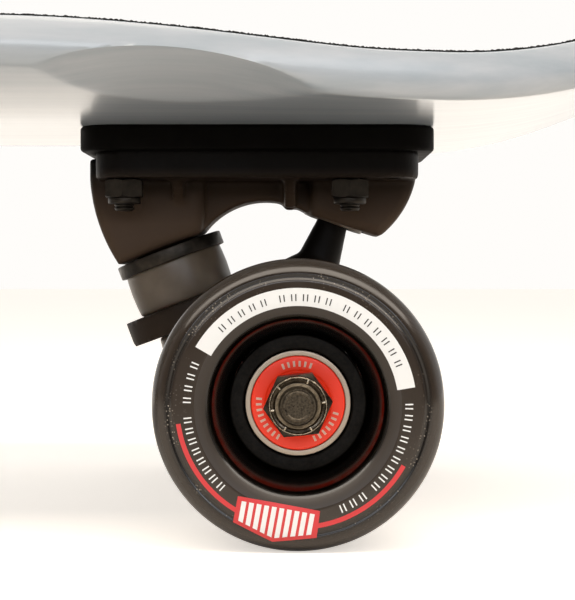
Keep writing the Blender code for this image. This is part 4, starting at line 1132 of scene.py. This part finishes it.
def axle():
    """The axle with its rolled threads and chamfered ends."""
    edge = AXLE_RADIUS - 0.38 * MM
    start = AXLE_HALF - 13 * MM
    flank = threaded(AXLE_RADIUS, start, AXLE_HALF - 0.9 * MM, AXLE_PITCH, 0.33 * MM)
    face = about(
        AXLE_HALF, (3.3, -0.16), (3.24, -0.22), (3.1, -0.16), (2.98, -0.06), (2.8, 0), (2.62, -0.05),
        (2.42, -0.24), (0, -0.26),
    )
    outer = [*flank, (edge + 0.1 * MM, AXLE_HALF - 0.26 * MM), (edge, AXLE_HALF - 0.16 * MM), *face]
    profile = [(radius, -height) for radius, height in reversed(outer)] + outer
    return moved(turned(profile, 48), turning(90, "X"))


def kingpin():
    """The kingpin, its head inside the housing and its threads below the nut."""
    head = KINGPIN_HEAD
    flank = threaded(KINGPIN_RADIUS, 9 * MM, KINGPIN_END - 0.9 * MM, KINGPIN_PITCH, 0.35 * MM)
    profile = [
        (0, head), (5.5 * MM, head), (HEAD_RADIUS, head + 0.4 * MM), (HEAD_RADIUS, head + 4 * MM),
        (KINGPIN_RADIUS, head + 4 * MM), *flank, (KINGPIN_RADIUS - 0.8 * MM, KINGPIN_END),
        (0, KINGPIN_END),
    ]
    return turned(profile, 64)


def bushing(radius, low, high):
    """A urethane bushing, eased at its rims and slightly full at mid height."""
    bore = KINGPIN_RADIUS + SEAT
    middle = (low + high) / 2
    profile = [
        (bore, low), (radius - 0.4 * MM, low), (radius - 0.12 * MM, (low + middle) / 2),
        (radius, middle), (radius - 0.12 * MM, (high + middle) / 2), (radius - 0.4 * MM, high),
        (bore, high),
    ]
    return ease(turned(profile), 0.8 * MM, 4, sharper=radians(50))


def cup_washer(inner, seat, back):
    """A pressed washer whose turned-up rim holds the bushing."""
    bore = KINGPIN_RADIUS + SEAT
    lip = seat + copysign(1.4 * MM, seat - back)
    outer = inner + 0.7 * MM
    profile = [(bore, back), (outer, back), (outer, lip), (inner, lip), (inner, seat), (bore, seat)]
    return ease(turned(profile), 0.3 * MM, 3)


def truck_bolt():
    """A countersunk bolt with a hex socket, rolled threads and its lock nut."""
    head = GRIP_TOP
    neck = head - 2.8 * MM
    high = UNDER - SEAT
    nut_end = high - BOLT_NUT_HEIGHT
    end = nut_end - 1.6 * MM
    flank = threaded(BOLT_RADIUS, end + 0.5 * MM, high + 3 * MM, BOLT_PITCH, 0.25 * MM)
    profile = [
        (0, end), (BOLT_RADIUS - 0.4 * MM, end), *flank, (BOLT_RADIUS, neck),
        (4.7 * MM, head - 0.25 * MM), (4.6 * MM, head), (0, head),
    ]
    socket = bmesh.new()
    bmesh.ops.create_cone(
        socket, cap_ends=True, segments=6, radius1=BOLT_KEY, radius2=BOLT_KEY, depth=4 * MM
    )
    moved(socket, Matrix.Translation((0, 0, head + 0.2 * MM)))
    screw = carved(turned(profile, 40), socket)
    bore = BOLT_RADIUS - 0.3 * MM
    nut = hexagon(BOLT_NUT_FLATS, high - 4.3 * MM, high, 0.2 * MM, bore, 40)
    collar = turned(pipe(bore, 3.9 * MM, nut_end, high - 4.2 * MM), 40)
    return joined([screw, nut, ease(collar, 0.4 * MM, 3)])


def build_trucks():
    """Both trucks, each with its riser, castings, kingpin, bushings, washers and axle."""
    down = along_kingpin()
    bore = KINGPIN_RADIUS - 0.1 * MM
    kingpin_nut = hexagon(KINGPIN_NUT_FLATS, 15.12 * MM, 21.8 * MM, 0.5 * MM, bore, 64)
    upper_washer = cup_washer(BUSHING_RADIUS + 0.3 * MM, -14.9 * MM, -16.78 * MM)
    lower_washer = cup_washer(10.6 * MM, 13.5 * MM, 15.1 * MM)
    patterns = {
        "riser": (riser(), RISER, "riser_plastic", "board"),
        "baseplate": (baseplate(), PLATE_CASTING, "black_casting", "board"),
        "pivot_cup": (moved(pivot_cup(), along_stem()), BUSHING, "cup_rubber", "board"),
        "kingpin": (moved(kingpin(), down), OXIDE, "blackened_steel", "board"),
        "kingpin_nut": (moved(kingpin_nut, down), OXIDE, "blackened_steel", "board"),
        "cup_washer_boardside": (moved(upper_washer, down), OXIDE, "blackened_steel", "board"),
        "cup_washer_roadside": (moved(lower_washer, down), OXIDE, "blackened_steel", "board"),
        "hanger": (hanger(), HANGER_CASTING, "black_casting", None),
        "axle": (axle(), WORN, "plated_steel", None),
    }
    bushings = {
        "bushing_boardside": (BUSHING_RADIUS, -14.88 * MM, -3.12 * MM, -14.6 * MM, -3.4 * MM),
        "bushing_roadside": (10.3 * MM, 3.12 * MM, 13.48 * MM, 13.2 * MM, 3.4 * MM),
    }
    for truck in ("rear", "front"):
        place = truck_place(truck)
        hung = "hanger_assembly_" + truck
        for label, (shape, material, slot, body) in patterns.items():
            made = piece(f"{label}_{truck}_shaped", shape.copy(), material, place, 35)
            fitted(made, body or hung, slot, f"{label}_{truck}")
        for label, (radius, low, high, held, steered) in bushings.items():
            lay = place @ down
            made = piece(f"{label}_{truck}_shaped", bushing(radius, low, high), BUSHING, lay, 35)
            start, end = lay @ Vector((0, 0, held)), lay @ Vector((0, 0, steered))
            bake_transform(made, "board", hung, start=start, end=end)
            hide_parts(f"{label}_{truck}")
    for shape, *_ in patterns.values():
        shape.free()
    bolt = truck_bolt()
    for truck, sign in (("rear", 1), ("front", -1)):
        spots = [(offset, side) for offset in BOLT_OFFSETS for side in (-1, 1)]
        for number, (offset, side) in enumerate(spots, 1):
            at = Matrix.Translation((AXLE_X[truck] + sign * offset, side * BOLT_Y, AXLE_Z))
            made = piece(f"truck_bolt_{truck}_{number}", bolt.copy(), OXIDE, at)
            fitted(made, "board", "bolt_steel", f"mounting_bolt_{truck}_{number}")
    bolt.free()


# Deck and grip


def kick(distance, radius, angle):
    """Height of a kick at a distance past where it starts."""
    if distance <= 0:
        return 0.0
    bend = radius * sin(angle)
    if distance < bend:
        return radius - sqrt(radius**2 - distance**2)
    return radius * (1 - cos(angle)) + (distance - bend) * tan(angle)


def deck_height(x, y):
    """Height of the deck's top over its flat middle: two kicks, and rails that rise between."""
    tail = kick(x - REAR_AXLE - RISER_END + TAIL_KICK_EARLY, *TAIL_KICK)
    nose = kick(FRONT_AXLE - RISER_END - x, *NOSE_KICK)
    start = RISER_END - CONCAVE_START
    inside = min(REAR_AXLE + start - x, x - FRONT_AXLE + start)
    run = (inside + hypot(inside, CONCAVE_SOFTNESS)) / 2
    rise = CONCAVE_RISE * sin(pi / 2 * min(1.0, run / CONCAVE_RUN))
    share = max(0.0, (abs(y) - FLAT_HALF_WIDTH) / (DECK_WIDTH / 2 - FLAT_HALF_WIDTH))
    return tail + nose + rise * share**2


def bent(x, y, z):
    """A point of the flat deck, whose top is z = 0, at its place on the bent one."""
    small = 1e-5
    slope_x = (deck_height(x + small, y) - deck_height(x - small, y)) / (2 * small)
    slope_y = (deck_height(x, y + small) - deck_height(x, y - small)) / (2 * small)
    outward = Vector((-slope_x, -slope_y, 1)).normalized()
    return Vector((x, y, deck_height(x, y) + DECK_TOP)) + outward * z


def spread(share, bands):
    """A share of the grid's run, 0 to 1, as a length: bands are (length, how closely divided)."""
    total = sum(length * density for length, density in bands)
    wanted = share * total
    at = 0.0
    for length, density in bands:
        if wanted <= length * density:
            return at + wanted / density
        wanted -= length * density
        at += length
    return at


def end_shape(x):
    """The taper and fullness of the end that lies towards x."""
    return (TAIL_TAPER, TAIL_FULLNESS) if x > 0 else (NOSE_TAPER, NOSE_FULLNESS)


def outline_place(x, v, inset):
    """The flat place of a grid point: x along the deck's run, v from -1 to 1 across it."""
    half = DECK_WIDTH / 2 - inset
    end = DECK_LENGTH / 2 - inset
    taper, fullness = end_shape(x)
    taper -= inset
    start = end - taper
    share = (abs(x) - start) / taper
    if share <= 0:
        return x, v * half
    share = min(share, 1.0)
    across = share * sqrt(1 - v * v / 2)
    side = v * sqrt(1 - share * share / 2)
    reach = hypot(across, side)
    if reach < 1e-9:
        return x, 0.0
    a, b = across / reach, abs(side) / reach
    low, high = 0.5, 1.5
    for _ in range(30):
        middle = (low + high) / 2
        if (a * middle) ** 2 + (b * middle) ** fullness > 1:
            high = middle
        else:
            low = middle
    return copysign(start + across * low * taper, x), side * low * half


def well_height(x, y):
    """Height of the sanding drum's upper side over a place, or None where it doesn't reach."""
    lean = atan2(WELL_DEPTH, WELL_REACH)
    highest = None
    for axle, sign in ((REAR_AXLE, 1), (FRONT_AXLE, -1)):
        off = x - (axle - sign * WELL_SETBACK)
        taper, fullness = end_shape(sign)
        past = max(0.0, (axle * sign - (DECK_LENGTH / 2 - taper)) / taper)
        rail = DECK_WIDTH / 2 * max(0.0, 1 - past**2) ** (1 / fullness)
        inward = abs(y) - (rail - WELL_REACH)
        if abs(off) < WELL_RADIUS and inward > -6 * MM:
            centre = DECK_LOW - WELL_RADIUS / cos(lean)
            drum = sqrt(WELL_RADIUS**2 - off**2) / cos(lean)
            height = centre + inward * tan(lean) + drum
            if inward < 0:
                height += inward * tan(lean)
            highest = height if highest is None else max(highest, height)
    return highest


def deck_blank(section, along, across):
    """A sheet in the deck's outline, divided finely for bending: its rim follows a section of
    (inset, height) points from the underside round to the top."""
    shape = bmesh.new()
    (count, bands), (count_across, bands_across) = along, across
    columns = [spread(i / count, bands) / (DECK_LENGTH / 2) - 1 for i in range(count + 1)]
    rows = []
    for j in range(count_across + 1):
        share = 2 * j / count_across - 1
        reach = min(1.0, spread(abs(share), bands_across) / (DECK_WIDTH / 2))
        rows.append(copysign(reach, share))

    def laid(i, j, inset, height):
        x = columns[i] * (DECK_LENGTH / 2 - inset)
        return shape.verts.new((*outline_place(x, rows[j], inset), height))

    sheets = [
        [[laid(i, j, *at) for j in range(len(rows))] for i in range(len(columns))]
        for at in (section[0], section[-1])
    ]
    for sheet in sheets:
        for first, second in zip(sheet, sheet[1:]):
            for j in range(len(rows) - 1):
                shape.faces.new((first[j], second[j], second[j + 1], first[j + 1]))
    right, far = len(columns) - 1, len(rows) - 1
    ring = [(i, 0) for i in range(right)] + [(right, j) for j in range(far)]
    ring += [(i, far) for i in range(right, 0, -1)] + [(0, j) for j in range(far, 0, -1)]
    loops = [[sheets[0][i][j] for i, j in ring]]
    loops += [[laid(i, j, *at) for i, j in ring] for at in section[1:-1]]
    loops.append([sheets[1][i][j] for i, j in ring])
    for first, second in zip(loops, loops[1:]):
        for here in range(len(ring)):
            after = (here + 1) % len(ring)
            shape.faces.new((first[here], first[after], second[after], second[here]))
    bmesh.ops.recalc_face_normals(shape, faces=shape.faces)
    return shape


def rim_section():
    """The deck's rim: a wide round below, a side that bulges a little, and a small round on top."""
    low, high = -DECK_THICKNESS, DECK_RISE
    points = [(LOW_ROUND * (1 - sin(a)), low + LOW_ROUND * (1 - cos(a))) for a in turns(9)]
    side = low + LOW_ROUND, high - TOP_ROUND
    points += [(0.0, side[0] + (side[1] - side[0]) * step / 6) for step in range(1, 6)]
    points += [(TOP_ROUND * (1 - cos(a)), side[1] + TOP_ROUND * sin(a)) for a in turns(4)]
    return [
        (RIM_INSET + inset - SIDE_BULGE * sin(pi * (height - low) / (high - low)), height)
        for inset, height in points
    ]


def turns(count):
    """Angles from nothing to a quarter turn."""
    return [pi / 2 * step / (count - 1) for step in range(count)]


ALONG = (
    300,
    [
        (50 * MM, 1.0), (60 * MM, 1.5), (160 * MM, 2.2), (135 * MM, 1.0),
        (150 * MM, 2.6), (80 * MM, 1.6), (76 * MM, 1.2),
    ],
)
ACROSS = (84, [(60 * MM, 1.0), (41.5 * MM, 2.4)])


def deck_body():
    """The deck: bent plywood, its lower rim rounded over and its wells sanded in."""
    shape = deck_blank(rim_section(), ALONG, ACROSS)
    soft = 0.25 * MM
    for vert in shape.verts:
        x, y, z = vert.co
        point = bent(x, y, z)
        drum = well_height(point.x, point.y)
        if drum is not None and z < -1.5 * MM:
            over = drum - point.z
            lift = (over + hypot(over, soft)) / 2
            point.z += lift - soft * soft / (4 * max(soft, abs(over)) + soft)
        vert.co = point
    low, high = DECK_LOW - 5 * MM, DECK_TOP + 5 * MM
    return carved(shape, *(upright(2.9 * MM, low, high, x, y, 24) for x, y in bolt_spots()))


def bolt_spots():
    """The eight bolts' places on the deck."""
    return [
        (axle + sign * offset, side * BOLT_Y)
        for axle, sign in ((FRONT_AXLE, -1), (REAR_AXLE, 1))
        for offset in BOLT_OFFSETS
        for side in (-1, 1)
    ]


def grip_body():
    """The grip sheet: filed thin at its cut rim, which is ragged with grit, and uneven on top."""
    low, high = DECK_RISE + 0.02 * MM, SEAT + GRIP_THICKNESS - 0.12 * MM
    inset = RIM_INSET + 0.45 * MM
    shape = deck_blank([(inset, low), (inset, high)], (420, ALONG[1]), (96, ACROSS[1]))
    rim = {vert for edge in shape.edges if edge.calc_face_angle(0) > 1 for vert in edge.verts}
    for vert in shape.verts:
        x, y, z = vert.co
        grain = noise.noise(Vector((x, y, 3.0)) * per_mm(0.9))
        if z > low and vert in rim:
            z = low + GRIP_RIM
        point = bent(x, y, z)
        if z > low:
            point.z += 0.12 * MM * grain
        vert.co = point
    low, high = DECK_TOP - 5 * MM, GRIP_TOP + 5 * MM
    return carved(shape, *(upright(5.0 * MM, low, high, x, y) for x, y in bolt_spots()))


def rim_path(inset, step):
    """Even steps round the deck's outline: flat places with their outward directions."""
    run = DECK_LENGTH / 2 - inset
    count = 1600
    corners = [(-run + 2 * run * i / count, -1.0) for i in range(count)]
    corners += [(run, -1.0 + 2.0 * i / count) for i in range(count)]
    corners += [(-x, -v) for x, v in corners]
    points = [Vector(outline_place(x, v, inset)) for x, v in corners]
    points.append(points[0])
    places = []
    left = 0.0
    for first, last in zip(points, points[1:]):
        length = (last - first).length
        if length < 1e-9:
            continue
        along = (last - first) / length
        while left <= length:
            places.append((first + along * left, Vector((along.y, -along.x))))
            left += step
        left -= length
    return places


def grip_rim():
    """The torn edge of the grip sheet: a fine ragged ribbon of grit along the deck's top corner."""
    shape = bmesh.new()
    rows = []
    section = ((0.0, 0.0), (0.05, 0.5), (0.0, 1.0), (-0.35, 1.15), (-1.1, 1.0), (-1.1, 0.0))
    for at, outward in rim_path(RIM_INSET + 0.3 * MM, 0.34 * MM):
        row = []
        for level, (out, up) in enumerate(section):
            grit = noise.random()
            flat = at + outward * (out + (0.10 * grit if 0 < level < 4 else 0.0)) * MM
            z = DECK_RISE + 0.01 * MM
            if up:
                z = DECK_RISE + (0.02 + up * (0.22 + 0.26 * noise.random() ** 2)) * MM
            row.append(shape.verts.new(bent(flat.x, flat.y, z)))
        rows.append(row)
    for row, following in zip(rows, rows[1:] + rows[:1]):
        for level in range(len(section)):
            after = (level + 1) % len(section)
            shape.faces.new((row[level], row[after], following[after], following[level]))
    return shape


def build_deck():
    """The deck and its grip sheet."""
    deck = piece("deck_shaped", deck_body(), PAINT, DECK_PLACE, 45)
    fitted(deck, "board", "painted_wood", "deck")
    grip = piece("grip_sheet_shaped", grip_body(), GRIT, DECK_PLACE, 45)
    fitted(grip, "board", "grip_sheet", "grip_tape")
    noise.seed_set(7)
    torn = piece("grip_sheet_torn_edge", grip_rim(), GRIT, DECK_PLACE, 180)
    fitted(torn, "board", "grip_sheet")


# Studio


def build_floor():
    """A pale paper floor, grey in front: a dark sheet of painted shade that stands for a dark room there.
    It glows to the camera and in mirrors, by how far back it lies, and more to the camera in front, where it
    is grey.
    """
    shape = bmesh.new()
    bmesh.ops.create_grid(shape, x_segments=1, y_segments=1, size=6)
    paper, tree, shader, place = finish(
        "warm_white_paper", None, 0.9, (0.4, 0.01), Emission_Color=linear("#fff8f0")
    )
    rays = node(tree, "LightPath").outputs
    depth = node(tree, "SeparateXYZ", links={0: place}).outputs["Y"]
    soft = {"interpolation_type": "SMOOTHSTEP"}
    behind = {**soft, "From Min": -0.25, "From Max": 0.9, "To Max": 1.8}
    behind = node(tree, "MapRange", behind, {"Value": depth})
    ahead = {**soft, "From Min": -0.5, "From Max": -0.18}
    ahead = node(tree, "MapRange", ahead, {"Value": depth})
    # Painted shade: the paper is grey in front, and its glow to the camera is raised there
    colours = {"data_type": "RGBA", 6: linear("#837f7a"), 7: linear("#f2ede6")}
    dark_front_card = node(tree, "Mix", colours, {0: ahead})
    tree.links.new(dark_front_card.outputs[2], shader.inputs["Base Color"])
    lifted = node(tree, "MapRange", {"To Min": 1.7, "To Max": 1.0}, {"Value": ahead})
    watched, mirrored = (
        node(tree, "Math", {"operation": "MULTIPLY"}, {0: rays[ray], 1: strength})
        for ray, strength in (("Is Camera Ray", lifted), ("Is Glossy Ray", behind))
    )
    seen = node(tree, "Math", {"operation": "MAXIMUM"}, {0: watched, 1: mirrored})
    glow = node(tree, "Math", {"operation": "MULTIPLY", 1: 0.6}, {0: seen})
    tree.links.new(glow.outputs[0], shader.inputs["Emission Strength"])
    piece("paper_floor", shape, paper)


def build_surround():
    """A white surround that is dimmer behind the camera and overhead, and full to the camera."""
    world = bpy.data.worlds.new("white_studio")
    bpy.context.scene.world = world
    world.use_nodes = True
    tree = world.node_tree
    back = tree.nodes["Background"]
    back.inputs["Color"].default_value = linear("#fffdfa")
    toward = node(tree, "TexCoord").outputs["Generated"]
    parts = node(tree, "SeparateXYZ", links={0: toward}).outputs
    fade, roof = (
        node(
            tree, "MapRange",
            {
                "interpolation_type": "SMOOTHSTEP",
                "From Min": start, "From Max": end, "To Min": first, "To Max": last,
            },
            {"Value": parts[way]},
        )
        for way, start, end, first, last in (("Y", -0.4, 0.25, 0.16, 0.92), ("Z", 0.5, 0.8, 1.0, 0.6))
    )
    lit = node(tree, "Math", {"operation": "MULTIPLY"}, {0: fade, 1: roof})
    watched = node(tree, "LightPath").outputs["Is Camera Ray"]
    strength = node(tree, "Math", {"operation": "MAXIMUM"}, {0: lit, 1: watched})
    tree.links.new(strength.outputs[0], back.inputs["Strength"])


def build_lamps():
    """Two soft lamps, a warm one overhead and a faint cool one by the camera."""
    for name, place, aim, size, power, colour in (
        ("top_softbox", (0.20, -0.40, 0.78), (0.20, -0.09, 0.05), (2.2, 0.40), 14.0, "#fff4e6"),
        ("front_softbox", (0.20, -1.10, 0.37), (0.20, -0.09, 0.06), (1.2, 0.25), 3.5, "#f4f8ff"),
    ):
        light = bpy.data.lights.new(name, "AREA")
        light.shape = "RECTANGLE"
        light.size, light.size_y = size
        light.energy = power
        light.color = linear(colour)[:3]
        lamp = bpy.data.objects.new(name, light)
        lamp.location = place
        lamp.rotation_euler = (Vector(aim) - Vector(place)).to_track_quat("-Z", "Y").to_euler()
        bpy.context.scene.collection.objects.link(lamp)


CAMERA_AWAY = 0.452
CAMERA_HEIGHT = 0.057
CAMERA_LENS = 108.1
CAMERA_LEFT = radians(0.334)
CAMERA_DOWN = radians(0.858)


def build_camera():
    """The photograph's camera: low, square to the rear wheel, a little above its top."""
    data = bpy.data.cameras.new("camera")
    data.sensor_fit = "VERTICAL"
    data.sensor_height = data.sensor_width = 36.0
    data.lens = CAMERA_LENS
    data.clip_start = 0.01
    camera = bpy.data.objects.new("camera", data)
    camera.location = (AXLE_X["rear"], -CAMERA_AWAY, CAMERA_HEIGHT)
    level = cos(CAMERA_DOWN)
    ahead = Vector((-sin(CAMERA_LEFT), cos(CAMERA_LEFT) * level, -sin(CAMERA_DOWN)))
    camera.rotation_euler = ahead.to_track_quat("-Z", "Y").to_euler()
    bpy.context.scene.collection.objects.link(camera)
    bpy.context.scene.camera = camera
    bpy.context.scene.view_settings.view_transform = "Standard"


build_camera()
build_floor()
build_surround()
build_lamps()
build_wheels()
build_trucks()
build_deck()
